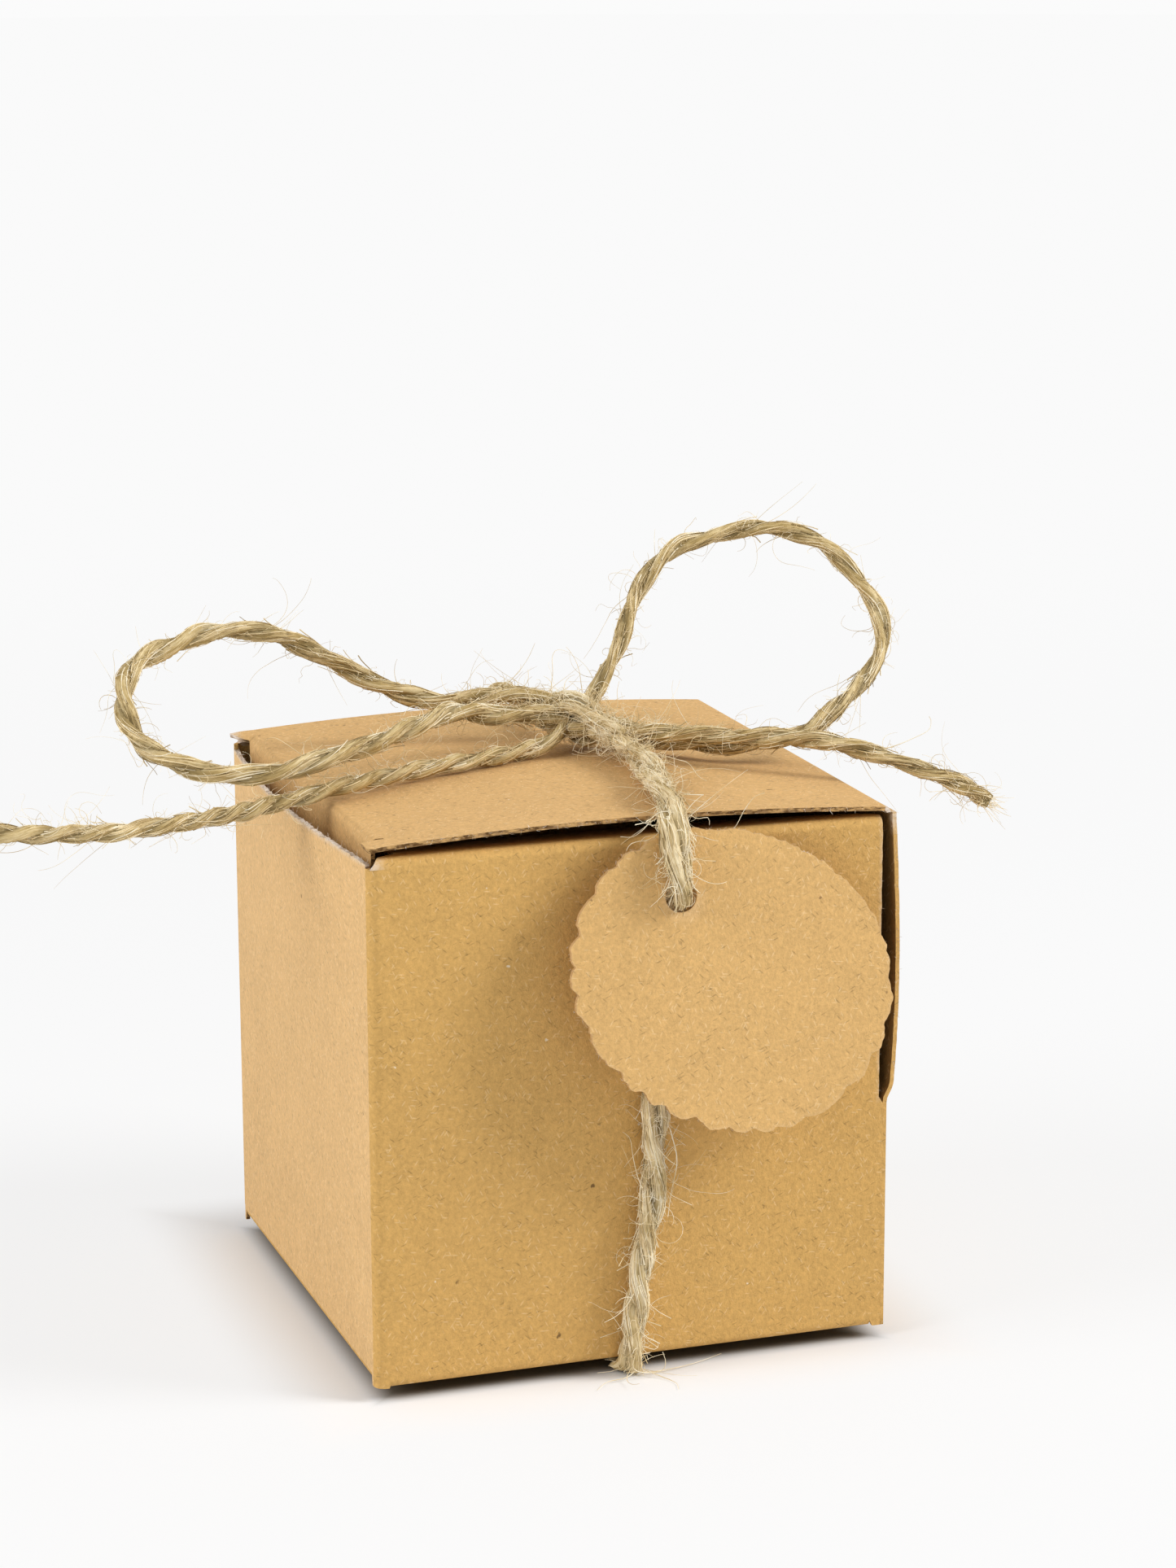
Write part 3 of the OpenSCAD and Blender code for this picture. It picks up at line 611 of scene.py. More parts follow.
def inside_box(p):
    return abs(p.x) < HALF + 0.1 and abs(p.y) < HALF + 0.05 and p.z < LID_TOP + LID_ARCH


def thread(curve, spots, thin, taper=0.6, tint=0):
    """One fibre through the spots: thin is its radius, and taper the share of it lost by its end."""
    spline = curve.splines.new("POLY")
    spline.material_index = tint
    spline.points.add(len(spots) - 1)
    for k, (point, p) in enumerate(zip(spline.points, spots)):
        point.co = (p.x * MM, p.y * MM, p.z * MM, 1)
        point.radius = thin * (1 - taper * k / (len(spots) - 1))


def lying_fibres(curve, yarn, rng, count, longest, thin, lift):
    """Fibres that lie along the plies, with ends that may stand off a little."""
    jump = max(1, round(0.55 / yarn.step))
    made = tries = 0
    while made < count and tries < count * 4:
        tries += 1
        ply = rng.randrange(yarn.plies)
        i = rng.randrange(yarn.line.count)
        long = rng.uniform(0.35, 1.0) * longest
        steps = max(4, int(long / yarn.step / jump))
        angle = rng.uniform(-2.2, 2.2)
        start_turn = yarn.turns[i]
        swing = rng.gauss(0, 0.5)
        raised = 1.03 + 0.05 * rng.random()
        stand = lift * rng.random() ** 2
        spots = []
        for k in range(steps + 1):
            at = i + k * jump
            if at >= yarn.line.count:
                break
            share = k / steps
            here = angle - (yarn.turns[at] - start_turn) * 0.72 + swing * share
            off = raised + stand * max(0.0, share - 0.55) ** 1.5
            spots.append(yarn.surface(at, ply, here, off))
        if len(spots) < 4 or any(inside_box(p) or p.z < 0.02 for p in spots):
            continue
        made += 1
        if rng.random() < 0.5:
            spots.reverse()
        tint = rng.choices((0, 1, 2), (1, 3, 6) if yarn.pale else (3, 4, 3))[0]
        thread(curve, spots, thin * rng.uniform(0.6, 1.2), 0.5, tint)


def random_way(rng, size=1.0):
    """A vector that points anywhere."""
    return Vector((rng.gauss(0, size), rng.gauss(0, size), rng.gauss(0, size)))


def loose_fibres(curve, yarn, rng, count, shortest, longest, lift, curl, thin, where=(0.0, 1.0)):
    """Fibres that leave the twine and wander off in curls. where gives the stretch, in shares."""
    line = yarn.line
    made = tries = 0
    while made < count and tries < count * 6:
        tries += 1
        share = where[0] + (where[1] - where[0]) * rng.random()
        i = min(line.count - 1, int(share * line.count))
        out = line.out(i, rng.uniform(0, 2 * math.pi))
        aim = line.aims[i] * rng.choice((-1, 1))
        wander = random_way(rng).normalized()
        long = shortest + (longest - shortest) * rng.random() ** 2
        steps = max(6, min(16, int(long / 0.4)))
        heading = (aim * (1 - lift) + out * lift + wander * 0.35 * lift).normalized()
        spot = line.points[i] + out * ((yarn.offset + yarn.ply_r) * 0.8)
        spots = [spot.copy()]
        bend = rng.gauss(0, curl) / steps
        for k in range(steps):
            heading = (Quaternion(wander, bend) @ heading).normalized()
            wander = (wander + random_way(rng, 0.3)).normalized()
            spot = spot + heading * (long / steps)
            spots.append(spot.copy())
        if any(inside_box(p) or p.z < 0.06 for p in spots[1:]):
            continue
        made += 1
        radius = thin * rng.uniform(0.7, 1.2)
        thread(curve, spots, radius, tint=int(rng.random() < (0.8 if yarn.pale else 0.4)))


END_FIBRES = 60


def end_tuft(curve, yarn, rng):
    """The fibres that fan out of a cut end."""
    line = yarn.line
    for _ in range(END_FIBRES):
        ply = rng.randrange(yarn.plies)
        near_end = line.count - 2 - rng.randrange(3)
        start = yarn.surface(near_end, ply, rng.uniform(0, 6.28), rng.uniform(0.3, 1.0))
        drift = random_way(rng)
        heading = (line.aims[-1] + drift * 0.13).normalized()
        bend = drift.orthogonal().normalized() * rng.gauss(0, 0.08)
        long = 0.6 + 3.2 * rng.random() ** 3
        spots = [start - heading * 0.8]
        for k in range(8):
            spots.append(spots[-1] + heading * (long / 7))
            heading = (heading + bend).normalized()
        thread(curve, spots, rng.uniform(0.02, 0.045))


def fibre_curve(name, tints):
    """An empty curve that draws each thread added to it as a thin round fibre."""
    curve = bpy.data.curves.new(name, "CURVE")
    curve.dimensions = "3D"
    curve.bevel_depth = 1.0 * MM
    curve.bevel_resolution = 0
    curve.use_fill_caps = True
    for tint in tints:
        curve.materials.append(tint)
    return curve


def fibre_piece(name, curve, body):
    """Turns a curve's threads into one piece of thin round fibres."""
    holder = bpy.data.objects.new(name + "_curve", curve)
    bpy.context.scene.collection.objects.link(holder)
    mesh = bpy.data.meshes.new_from_object(holder)
    bpy.data.objects.remove(holder)
    mesh.name = name
    mesh.shade_smooth()
    return show(name, mesh, body, [])


def fibres_of(yarn, frizz):
    """The separate fibres of one stretch of twine: those that lie on it and those that stand off."""
    rng = random.Random(40 + yarn.seed)
    size = yarn.line.length
    lying = fibre_curve(yarn.name + "_fibres", [LOOSE_DARK, LOOSE, LOOSE_PALE])
    lying_fibres(lying, yarn, rng, int(size * 3.2), longest=10.0, thin=0.066, lift=0.6)
    lying_fibres(lying, yarn, rng, int(size * 1.8), longest=7.0, thin=0.050, lift=6.0)
    if yarn.pale:
        lying_fibres(lying, yarn, rng, int(size * 3.0), longest=7.0, thin=0.056, lift=3.0)
        lying_fibres(lying, yarn, rng, int(size * 2.0), longest=5.0, thin=0.042, lift=12.0)
    hairs = fibre_curve(yarn.name + "_hairs", [LOOSE, LOOSE_PALE])
    loose_fibres(hairs, yarn, rng, int(size * 3.0), shortest=0.8, longest=3.4, lift=0.34, curl=4.5,
                 thin=THIN * 1.4)
    loose_fibres(hairs, yarn, rng, int(size * 1.0), shortest=2.5, longest=9.0, lift=0.5, curl=6.5,
                 thin=THIN * 1.2)
    for share_from, share_to, per_mm in frizz:
        where = (share_from, share_to)
        stretch = size * (share_to - share_from)
        loose_fibres(hairs, yarn, rng, int(stretch * per_mm), shortest=1.0, longest=4.5, lift=0.26,
                     curl=6.0, thin=THIN * 1.7, where=where)
        loose_fibres(hairs, yarn, rng, int(stretch * per_mm * 0.25), shortest=3.0, longest=9.0, lift=0.42,
                     curl=8.0, thin=THIN * 1.4, where=where)
    if yarn.cut_end:
        end_tuft(hairs, yarn, rng)
    return [fibre_piece(yarn.name + "_fibres", lying, "twine"),
            fibre_piece(yarn.name + "_hairs", hairs, "twine")]


# How far the front strand's plies lie open at shares of its length.
STRAND_OPEN = (
    (0, 1), (0.46, 1), (0.54, 0.5), (0.68, 0.75), (0.80, 0.6), (0.88, 0.25), (0.96, 0.35), (1, 0.8))


def strand_opened(share):
    """The front strand lies open from the knot to the tag's hole, below the tag and at its foot."""
    for (a, x), (b, y) in zip(STRAND_OPEN, STRAND_OPEN[1:]):
        if share <= b:
            return x + (y - x) * (share - a) / (b - a)
    return STRAND_OPEN[-1][1]


YARNS = {yarn.name: yarn for yarn in (
    Yarn("left_loop", lay=12.0, ply_r=0.62, offset=0.33, seed=1),
    Yarn("right_loop", lay=12.5, ply_r=0.54, offset=0.30, seed=2),
    Yarn("left_tail", lay=8.6, ply_r=0.54, offset=0.29, seed=3, cut_end=True),
    Yarn("right_tail", lay=9.0, ply_r=0.56, offset=0.30, seed=4, cut_end=True),
    Yarn("front_strand", lay=8.0, ply_r=0.64, offset=0.36, seed=5, loose=strand_opened, pale=True),
    Yarn("back_strand", lay=7.5, seed=6),
    Yarn("bottom_strand", lay=7.5, seed=7),
    Yarn("bow_knot", lay=30, ply_r=0.62, offset=0.62, plies=3, seed=8, pale=True),
    Yarn("knot_heart", lay=14, ply_r=0.80, offset=0.55, seed=9),
)}
# The shares between which more fibres stand off a stretch, and how many for each millimetre.
FRIZZ = {
    "left_loop": [(0.0, 0.10, 10), (0.93, 1.0, 8)],
    "right_loop": [(0.0, 0.12, 3), (0.88, 1.0, 6)],
    "left_tail": [(0.10, 0.62, 2)],
    "right_tail": [(0.0, 0.25, 6), (0.88, 1.0, 9)],
    "front_strand": [(0.0, 0.44, 12), (0.66, 0.80, 6), (0.80, 1.0, 3), (0.95, 1.0, 8)],
    "back_strand": [],
    "bow_knot": [(0.0, 1.0, 16)],
    "knot_heart": [(0.0, 1.0, 10)],
}
TWINES = {name: twisted_twine(yarn) for name, yarn in YARNS.items()}
FUZZ = {name: fibres_of(YARNS[name], frizz) for name, frizz in FRIZZ.items()}

# Single long fibres that stand well off the twine.
STRAYS = (
    [(3.4, -28.4, 49), (5.0, -27.4, 49.6), (7.2, -27, 50.8), (8.8, -27, 51.8), (9.7, -27, 53.3),
     (10.7, -27, 54.5), (11.7, -27, 54.8)],
    [(2.4, -27.6, 54), (1.7, -26.9, 53.8), (1, -26.7, 53.3), (0.3, -26.7, 52.4), (-0.8, -26.7, 51.7),
     (-2, -26.7, 51.8)],
    [(3.2, -27.6, 53), (4.3, -27.2, 53.4), (5.1, -27.2, 53), (6.2, -27.2, 53), (6.3, -27.2, 52.3)],
    [(1.9, -29, 51.8), (0.8, -28, 51.6), (-0.4, -28, 51.6), (-1.5, -28, 51.4), (-1.9, -28, 50.8)],
    [(7.4, -6, 54.6), (10, -8.4, 54), (10.5, -10.4, 54), (9.6, -15.5, 54), (9.6, -17.7, 54)],
    [(-7.2, -0.6, 59.1), (-4.9, 0.3, 58.2), (-0.7, 0.5, 57.6), (2.2, 0.5, 57.3), (3.6, 1.6, 57.4)],
    [(24.6, -12.6, 55.1), (26.8, -14.5, 54.3), (29.2, -14.5, 53.1), (31.6, -14.9, 52.8)],
    [(27, -14.4, 55), (29.3, -14.5, 55), (31.7, -14.5, 55.7), (33.3, -14.5, 56.4), (33.5, -14.5, 57.3),
     (33.3, -14.5, 57.7)],
    [(-0.9, -27.4, 2.4), (-1.1, -27.5, 1.4), (-0.4, -27.5, 0.8), (1.6, -27.5, 0.6), (2.1, -27.5, 1.4),
     (1.8, -27.5, 2.5)],
    [(-0.8, -26.8, 0.7), (0.7, -26.6, 0.3), (3.5, -26.2, 0.2), (6.3, -25.4, 0.2), (8.9, -24.1, 0.15)],
    [(-0.4, -26.6, 0.7), (-1.7, -27.2, 0.3), (-3.6, -27.4, 0.2), (-5, -28.7, 0.1)],
    [(0.3, -26.6, 0.6), (1.6, -27.8, 0.2), (2.4, -29.4, 0.1), (2.1, -31, 0.1)],
    [(-0.9, -27.1, 8.4), (-1.6, -27.2, 7.4), (-2.6, -27.2, 6.5), (-3.8, -27.2, 6)],
    [(-0.1, -27.1, 18.6), (-0.7, -27.5, 20), (-1.1, -27.5, 21.8), (-1.4, -27.5, 23.6), (-2.1, -27.5, 24.3)],
    [(2.6, -27.2, 24), (3.2, -27.4, 21), (2.7, -27.3, 18), (2.4, -27.2, 15.5)],
)
strays = fibre_curve("stray_fibres", [LOOSE_PALE])
for route in STRAYS:
    thread(strays, Line(route, 0.4).points, 0.055, 0.55)
fibre_piece("stray_fibres", strays, "twine")


# How the far end of each free stretch is made, and how the stretch lies.
CORDS = {
    "left_loop": ("object", "loose"),
    "right_loop": ("object", "loose"),
    "left_tail": ("bare", "loose"),
    "right_tail": ("bare", "loose"),
}
for name, (far_end, lay) in CORDS.items():
    route = [tuple(p * MM) for p in LINES[name].points]


# ---- Walls ----

WALL_FOLD = 0.9        # outer radius of the top folds of the front and back walls
FOLD_TOP = 51.1        # top of the front fold, which is pressed lower than the back one
FOLD_Z = FOLD_TOP - WALL_FOLD
FLAP_DIP = 0.22        # the dust flaps slope down into the box
SEAM_X = 24.2          # the front wall's edge at the glued seam
FREE_FROM = 23.7       # above this the right wall's front edge is free of the glue tab
SEAM_BULGE = 0.55      # half of how far the right wall stands out beside the open seam
RIGHT_TOP = 51.45
LEFT_TOP = 50.6
LEFT_BOW = 1.5         # how far the left wall bows outward at its top
BOW_FROM = 13.9        # height at which its bow begins
FRONT_LOW = 2.1        # where the front wall begins above its bottom fold
SIDE_LOW = 2.5         # where the side walls do
WALL_FOOT = 1.35       # height of the lower ends of the walls' corners
FOOT_FROM = 23.5       # where the bottom folds end
FOOT_STEP = 0.15       # length over which the walls' corners come down
FOOT_RISE = 0.9        # height of the part of the wall that is stretched for it
RING = math.pi / 2 * (HALF - FLAT)


def to_corner(along, z, low):
    """Beyond the ends of the bottom folds the walls reach down to the corners of the base."""
    past = min(1.0, max(0.0, (abs(along) - FOOT_FROM) / FOOT_STEP))
    return z - (low - WALL_FOOT) * past * max(0.0, 1.0 - (z - low) / FOOT_RISE)


def front_wall_place(s, z):
    """Round the left fold, then straight to the seam. s is zero where the flat face begins."""
    low = to_corner(s - FLAT, z, FRONT_LOW)
    if s < 0:
        angle = math.pi + (s + RING) / (HALF - FLAT)
        return Vector((-FLAT + math.cos(angle), -FLAT + math.sin(angle), low))
    x = s - FLAT
    if x > SEAM_X - 0.01:
        closed = min(1.0, max(0.0, (FREE_FROM + 0.3 - z) / 0.3))
        x += 0.42 * closed + (1 - closed) * ragged(z, 0, 0.06, 1.3, 2.0)
    return Vector((x, -HALF, low))


front_wall = card_sheet(
    "front_wall_card", even(-RING, 6, 0, 2, 0.5, 1, 0.65, 86, 47.35, 1, 47.5, 2, FLAT + SEAM_X),
    even(FRONT_LOW, 70, FOLD_Z), front_wall_place, rim=KRAFT_INSIDE,
    worn=lambda s, z, p: 0.45 * near_edge(SEAM_X - p.x, 0.3) * (p.z > FREE_FROM))
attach(front_wall, "box")
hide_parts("front_wall")


def left_wall_bow(y, z):
    rise = max(0.0, z - BOW_FROM) / (LEFT_TOP - BOW_FROM)
    return LEFT_BOW * math.cos(math.pi / 2 * y / FLAT) * rise ** 1.5


def left_wall_cut(y):
    """How far the left wall's cut top edge wanders from its height."""
    return ragged(y, 1, 0.15, 1.6, 4.0)


def left_wall_place(side, z):
    y = -side
    if z > LEFT_TOP - 0.01:
        z += left_wall_cut(y)
    return Vector((-HALF - left_wall_bow(y, z), y, to_corner(y, z, SIDE_LOW)))


left_wall = card_sheet(
    "left_wall_card", even(-FLAT, 2, -23.65, 1, -FOOT_FROM, 216, FOOT_FROM, 1, 23.65, 2, FLAT),
    # The outer face is the paler copy of the card, with painted light.
    even(SIDE_LOW, 50, LEFT_TOP - 1, 5, LEFT_TOP), left_wall_place, outer=KRAFT_LIT_LEFT_FACE,
    worn=lambda s, z, p: near_edge(LEFT_TOP - p.z, 0.45))
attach(left_wall, "box")
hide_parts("left_wall")


def right_wall_place(share, z):
    """share runs from the free front edge to where the back fold begins."""
    free = min(1.0, max(0.0, (z - FREE_FROM + 0.2) / 0.4))
    front = -HALF + 0.02
    if free and share < 0.01:
        front += ragged(z, 5, 0.09, 1.0, 8.0)
    y = front + (FLAT - front) * share
    rise = max(0.0, z - FREE_FROM) / (RIGHT_TOP - FREE_FROM)
    bulge = SEAM_BULGE * min(1.0, rise * 20) + SEAM_BULGE * math.sin(math.pi * rise ** 0.9)
    return Vector((HALF + (1 - share) * bulge, y, to_corner(y, z, SIDE_LOW) if y < 0 else z))


right_wall = card_sheet(
    "right_wall_card", even(0, 3, 0.03, 60, 1), even(SIDE_LOW, 110, RIGHT_TOP), right_wall_place,
    # The inner side is the dark copy of the card: painted shade.
    rim=KRAFT, inner=KRAFT_PAINTED_SHADE,
    worn=lambda s, z, p: 1.3 * near_edge(p.y + 24.9, 1.0) * near_edge(RIGHT_TOP - p.z, 2.2))
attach(right_wall, "box")
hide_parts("right_wall")


# ---- Lid, its crease and the tuck flap ----

def lid_height(x):
    """Top of the arched lid."""
    share = (x - LID_LEFT) / (LID_RIGHT - LID_LEFT)
    return LID_TOP + LID_ARCH * max(0.0, 4 * share * (1 - share)) - LID_DROP * share


ROLL = ROLL_R * math.pi / 2
LID_SPAN = LID_RIGHT - LID_LEFT
TUCK_LOW = LID_TOP - 12
TUCK_CORNER = 10.0     # rounding of the tuck flap's lower corners
TUCK_START = LID_LEFT - ROLL_X
TUCK_SPAN = TUCK_START + ROLL + ROLL_Z - TUCK_LOW


def lid_edge(x, y):
    """The lid's two long edges stand out unevenly where they were cut."""
    if abs(y) <= LID_EDGE - 0.01:
        return y
    wander = ragged(x, 2 + math.copysign(1, y), 0.085, 1.4, 6.0)
    return y + math.copysign(wander, y)


def lid_place(s, y):
    """s runs from the tuck flap's free edge, over the roll, and along the lid to its crease.

    Beside the tuck flap, where s is below zero, are the two ears. They droop towards their ends.
    """
    if s >= 0:
        x = LID_LEFT + s
        return Vector((x, lid_edge(x, y), lid_height(x)))
    share = -s / TUCK_SPAN
    if abs(y) >= EAR_FROM:
        outward = min(1.0, (abs(y) - EAR_FROM) / (LID_EDGE - EAR_FROM))
        if y < 0:
            corner = max(0.0, abs(y) - (LID_EDGE - EAR_ROUND))
            reach = LID_LEFT - EAR_LEFT - EAR_ROUND + math.sqrt(max(0.0, EAR_ROUND ** 2 - corner ** 2))
        else:
            reach = 0.8 + (LID_LEFT - EAR_TORN - 0.8) * outward ** 0.7
        x = LID_LEFT - reach * share
        z = LID_TOP - EAR_DROOP * share ** 2
        if y > 0:
            x += ragged(y, 3, 0.16, 2.2, 9.0) * share
            z -= 0.35 * share ** 2 * (1 - outward)
        return Vector((x, y, z))
    past = max(0.0, abs(y) - (TUCK_HALF - TUCK_CORNER))
    bottom = TUCK_LOW + (TUCK_CORNER - math.sqrt(max(0.0, TUCK_CORNER ** 2 - past ** 2)))
    down = share * (TUCK_START + ROLL + ROLL_Z - bottom)
    if down < TUCK_START:
        return Vector((LID_LEFT - down, y, LID_TOP))
    down -= TUCK_START
    if down < ROLL:
        angle = math.pi / 2 + down / ROLL_R
        return Vector((ROLL_X + ROLL_R * math.cos(angle), y, ROLL_Z + ROLL_R * math.sin(angle)))
    return Vector((ROLL_X - ROLL_R, y, ROLL_Z - (down - ROLL)))


def lid_worn(s, y, spot):
    """The torn back ear shows its pulp."""
    if s >= 0 or y <= EAR_FROM - 0.1:
        return 0.0
    return 1.4 * near_edge(spot.x - EAR_TORN, 1.1)


lid = card_sheet(
    "lid_card", even(-TUCK_SPAN, 20, -TUCK_START - ROLL, 10, -TUCK_START, 6, 0, 130, LID_SPAN),
    even(-LID_EDGE, 12, -EAR_FROM, 1, -TUCK_HALF, 120, TUCK_HALF, 1, EAR_FROM, 12, LID_EDGE),
    # The lid's outer side is the lighter copy of the card, with painted light.
    lid_place, worn=lid_worn, outer=KRAFT_LIT_LID, cut=lambda s, y: s < 0 and TUCK_HALF < abs(y) < EAR_FROM)
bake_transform(lid)
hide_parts("lid_panel", "tuck_flap")


def lid_crease_place(y, angle):
    return Vector((LID_RIGHT + FOLD_R * math.cos(angle), lid_edge(LID_RIGHT, y),
                   LID_TOP - LID_DROP - FOLD_R + FOLD_R * math.sin(angle)))


lid_crease = card_sheet(
    "lid_crease", even(-LID_EDGE, 60, LID_EDGE), even(0, 10, math.pi / 2), lid_crease_place,
    # The crease's outer side is the lighter copy of the card, with painted light.
    outer=KRAFT_LIT_LID, worn=lambda y, a, p: 0.9 * near_edge(p.y + LID_EDGE, 0.8))
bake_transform(lid_crease)


# ---- Dust flaps, with the folds that join them to the walls ----

FLAP_FREE = 12.45      # the flaps' free edges, from the middle of the box
FLAP_LEFT = -24.75
FLAP_RIGHT = 24.2
FLAP_SLANT = math.radians(46)
FLAP_ROUND = 4.0       # rounding of the flaps' left corners


def dust_flap(name, side):
    """side is -1 for the front flap and 1 for the back one."""
    fold = WALL_FOLD * math.pi / 2
    flap = HALF - WALL_FOLD - FLAP_FREE
    top = FOLD_TOP if side < 0 else FLAP_TOP

    def place(share, s):
        inward = max(0.0, s - fold)
        left = FLAP_LEFT + min(0.85, s * 0.6) + min(2.1, inward * 1.4)
        right = FLAP_RIGHT - inward * math.tan(FLAP_SLANT)
        round_off = max(0.0, inward - (flap - FLAP_ROUND))
        left += FLAP_ROUND - math.sqrt(max(0.0, FLAP_ROUND ** 2 - round_off ** 2))
        share = share if side < 0 else 1 - share
        x = left + (right - left) * share
        if s < fold:
            angle = s / WALL_FOLD
            return Vector((x, side * (HALF - WALL_FOLD + WALL_FOLD * math.cos(angle)),
                           top - WALL_FOLD + WALL_FOLD * math.sin(angle)))
        return Vector((x, side * (HALF - WALL_FOLD - inward), top - FLAP_DIP * inward ** 2 / (inward + 1.5)))

    piece = card_sheet(
        name + "_card", even(0, 90, 1), even(0, 12, fold, 24, fold + flap), place,
        worn=lambda u, s, p: 0.6 * near_edge(p.x + 24.0, 0.7) + 0.4 * near_edge(24.3 - p.x, 0.5))
    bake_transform(piece)
    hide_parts(name)


dust_flap("front_dust_flap", -1)
dust_flap("back_dust_flap", 1)


# ---- Tag ----

TAG_R = 15.0
TAG_CARD = 0.5         # thickness of the tag
SCALLOPS = 28
HOLE_R = 1.5
HOLE_OFFSET = 9.2      # the hole's middle, from the tag's middle
TAG_LONGER = 1.15      # the tag isn't quite round: how far it reaches past a circle, and which way
TAG_LONG_WAY = math.radians(109)
TAG_LEAN = math.radians(83)        # nearly upright, leaning back
TAG_SWUNG = math.radians(31)       # turned in its own plane about its hole
# Where the tag hangs, from its own flat outline.
TAG_TURN = (Matrix.Translation(TAG_HOLE) @ Matrix.Rotation(TAG_LEAN, 4, "X")
            @ Matrix.Rotation(TAG_SWUNG, 4, "Z") @ Matrix.Translation((0, -HOLE_OFFSET, 0)))


def tag_place(angle, share):
    """share runs from the rim of the hole to the scalloped edge.

    The notches between the scallops are shallower towards the upper right, and the scallops aren't
    evenly spaced. The top and the foot of the tag are a little flatter than a circle.
    """
    beat = angle * SCALLOPS / (2 * math.pi) + 0.26 * math.sin(angle * 3) + 0.22 * math.sin(angle * 7 + 1)
    bump = abs(math.sin(math.pi * beat)) ** 0.8
    facing = Vector((math.cos(angle), math.sin(angle), 0))
    upward = math.sin(angle + TAG_SWUNG)
    rightward = math.cos(angle + TAG_SWUNG)
    deep = (0.60 - 0.46 * max(0.0, min(1.0, 1.4 * (upward + rightward - 0.6)))
            + 0.22 * noise.noise(facing * 2.3 + Vector((0, 0, 2))))
    rim = (TAG_R + 0.15 - (0.95 + 0.30 * upward) * upward ** 2 - deep * (1 - bump)
           + TAG_LONGER * math.cos(2 * (angle - TAG_LONG_WAY))
           + 0.20 * noise.noise(facing * 21) + 0.11 * noise.noise(facing * 60))
    inner = Vector((HOLE_R * math.cos(angle), HOLE_OFFSET + HOLE_R * math.sin(angle), 0))
    outer = Vector((rim * math.cos(angle), rim * math.sin(angle), 0))
    spot = inner.lerp(outer, share)
    spot.z = 0.25 + 0.12 * noise.noise(Vector((spot.x * 0.07, spot.y * 0.07, 3.0)))
    return TAG_TURN @ spot


tag = card_sheet(
    "tag_card", even(0, SCALLOPS * 12, 2 * math.pi), even(0, 14, 0.93, 4, 1.0), tag_place,
    outer=KRAFT_TAG, inner=KRAFT_TAG, rim=KRAFT_INSIDE, thickness=TAG_CARD, closed=True,
    worn=lambda a, share, p: 0.16 * near_edge((1 - share) * TAG_R, 0.25) + 0.2 * near_edge(share * 8, 0.3))
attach(tag, "tag")
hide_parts("tag")


# ---- Fibres that stand out of the raw edges ----

def frayed_edge(name, body, spots, outward, count, longest, seed):
    """Short paper fibres along a cut edge. outward is the way that they point.

    spots gives a place on the edge from two shares, one along it and one through the card.
    """
    rng = random.Random(seed)
    curve = fibre_curve(name, [PAPER_FIBRE])
    for _ in range(count):
        start = spots(rng.random(), rng.random())
        drift = random_way(rng)
        heading = (outward + drift * 0.8).normalized()
        long = longest * (0.2 + 0.8 * rng.random() ** 2)
        line = [start - heading * 0.1]
        for _ in range(4):
            line.append(line[-1] + heading * (long / 4))
            heading = (heading + drift.orthogonal().normalized() * rng.gauss(0, 0.35)).normalized()
        thread(curve, line, rng.uniform(0.012, 0.026))
    return fibre_piece(name, curve, body)


def left_wall_edge(a, b):
    y = -FLAT + 2 * FLAT * a
    z = LEFT_TOP + left_wall_cut(y)
    return Vector((-HALF - left_wall_bow(y, z) + CARD * b, y, z))


def lid_front_edge(a, b):
    x = LID_LEFT + LID_SPAN * a
    return Vector((x, -LID_EDGE, lid_height(x) - CARD * b))


def seam_edge(a, b):
    return Vector((SEAM_X, -HALF + CARD * b, FREE_FROM + (FOLD_Z - FREE_FROM) * a))


def right_wall_edge(a, b):
    z = FREE_FROM + (RIGHT_TOP - FREE_FROM) * a ** 0.7
    return right_wall_place(0.0, z) + Vector((-CARD * b, 0, 0))


def tag_edge(a, b):
    return tag_place(2 * math.pi * a, 1.0) + TAG_TURN.to_3x3() @ Vector((0, 0, -TAG_CARD * b))


frayed_edge("left_wall_frayed_fibres", "box", left_wall_edge, Vector((-0.2, 0, 1)),
            count=260, longest=0.9, seed=61)
frayed_edge("lid_frayed_fibres", "lid", lid_front_edge, Vector((0, -1, 0.1)),
            count=170, longest=0.7, seed=62)
frayed_edge("seam_frayed_fibres", "box", seam_edge, Vector((1, -0.1, 0)),
            count=70, longest=0.5, seed=63)
frayed_edge("right_wall_frayed_fibres", "box", right_wall_edge, Vector((0.3, -1, 0)),
            count=90, longest=0.7, seed=64)
frayed_edge("tag_frayed_fibres", "tag", tag_edge, Vector((0, -1, 0)),
            count=240, longest=0.6, seed=65)


# ---- Card pieces that keep their own shape ----

for node_name in ("back_wall", "glue_tab", "bottom_tongue_panel", "bottom_left_flap", "bottom_right_flap",
                  "bottom_slot_panel"):
    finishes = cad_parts[node_name].data.materials
    finishes.clear()
    finishes.append(KRAFT)


# ---- Floor, world and lamps ----

FLOOR_GLOW = 0.955     # how bright the clear floor looks
WORLD_LIGHT = 0.47     # how much light the world gives
WORLD_LOOK = 0.965     # how bright it looks
LAMP_AIM = (0, 0, 0.03)
NEAR_BOX = 0.0245      # the floor is clear from a little outside the box's walls, in metres
CLEAR_OF_BOX = 0.036


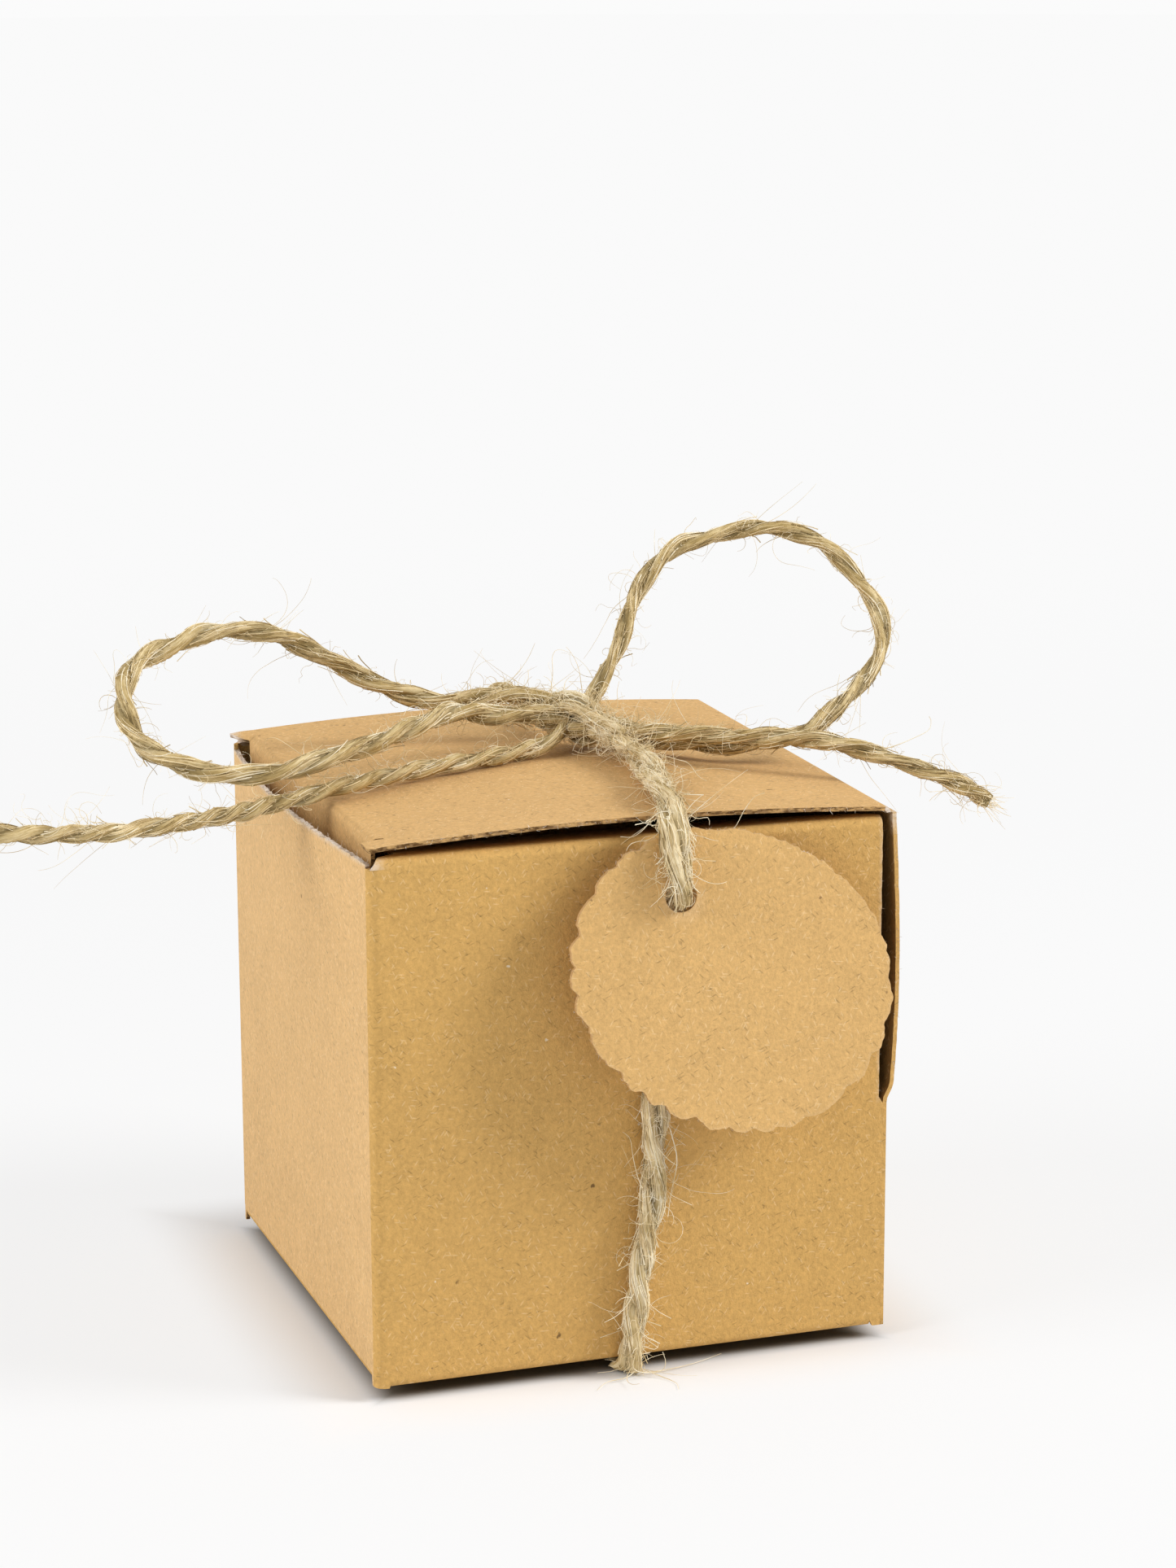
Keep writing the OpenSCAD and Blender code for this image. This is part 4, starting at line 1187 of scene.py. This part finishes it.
def seen_rays(tree):
    """1 for what is seen, straight or in a mirror or through glass, and 0 for the light on things."""
    ray = put(tree, "ShaderNodeLightPath").outputs
    passed_on = put(tree, "ShaderNodeMath", {0: ray["Is Glossy Ray"], 1: ray["Is Transmission Ray"]},
                    operation="MAXIMUM")
    seen = put(tree, "ShaderNodeMath", {0: ray["Is Camera Ray"], 1: passed_on.outputs[0]},
               operation="MAXIMUM")
    return seen.outputs[0]


def make_floor():
    """A white floor that keeps the object's shadow, with a dark painted shadow beneath the box that fades
    out just past its walls.
    """
    bm = bmesh.new()
    bmesh.ops.create_circle(bm, cap_ends=True, segments=96, radius=3.0)
    mesh = bpy.data.meshes.new("studio_floor")
    bm.to_mesh(mesh)
    bm.free()
    floor = bpy.data.objects.new("studio_floor", mesh)
    bpy.context.scene.collection.objects.link(floor)
    finish = Finish("studio_floor", 0.9, 0.0)
    tree = finish.tree
    seen = seen_rays(tree)
    glow = finish.add("ShaderNodeEmission", {"Color": (1, 1, 1, 1), "Strength": FLOOR_GLOW})
    away = finish.add("ShaderNodeVectorMath", {0: finish.place}, operation="LENGTH")
    far = finish.ramp(away.outputs["Value"], 0.08, 0.42)
    sides = finish.add("ShaderNodeSeparateXYZ", {"Vector": finish.place})
    from_box = finish.calc("MAXIMUM", finish.calc("ABSOLUTE", sides.outputs[0]),
                           finish.calc("ABSOLUTE", sides.outputs[1]))
    clear = finish.ramp(from_box, NEAR_BOX, CLEAR_OF_BOX)
    # Painted shadow: the floor is darkened beneath the box and a little past its walls.
    painted_shadow_mask = finish.ramp(from_box, 0.0225, 0.0258)
    finish.paint(finish.mix(painted_shadow_mask, (0.16, 0.14, 0.11, 1), (0.86, 0.86, 0.865, 1)))
    share = finish.calc("MULTIPLY", finish.calc("MULTIPLY_ADD", far, 0.25, 0.75), clear)
    share = finish.calc("MULTIPLY", seen, share)
    blend = finish.add("ShaderNodeMixShader", {0: share, 1: finish.surface.outputs[0], 2: glow.outputs[0]})
    feed(tree, tree.nodes["Material Output"].inputs["Surface"], blend.outputs[0])
    mesh.materials.append(finish.material)


def make_world():
    world = bpy.data.worlds.new("studio")
    bpy.context.scene.world = world
    world.use_nodes = True
    tree = world.node_tree
    level = put(tree, "ShaderNodeMapRange", {
        "Value": seen_rays(tree), "To Min": WORLD_LIGHT, "To Max": WORLD_LOOK})
    background = tree.nodes["Background"]
    feed(tree, background.inputs["Color"], (1, 1, 1, 1))
    feed(tree, background.inputs["Strength"], level.outputs[0])


def make_lamp(name, spot, size, watts):
    """A round soft lamp that points at the middle of the box."""
    lamp = bpy.data.lights.new(name, "AREA")
    lamp.shape = "DISK"
    lamp.size = size
    lamp.energy = watts
    holder = bpy.data.objects.new(name, lamp)
    bpy.context.scene.collection.objects.link(holder)
    spot = Vector(spot)
    turn = (Vector(LAMP_AIM) - spot).to_track_quat("-Z", "Y")
    holder.matrix_world = Matrix.Translation(spot) @ turn.to_matrix().to_4x4()


make_floor()
make_world()
make_lamp("right_softbox", (0.74, -0.37, 0.58), size=0.40, watts=7.4)
make_lamp("left_softbox", (-0.78, -0.10, 0.55), size=0.6, watts=4.6)
bpy.context.scene.view_settings.view_transform = "Standard"
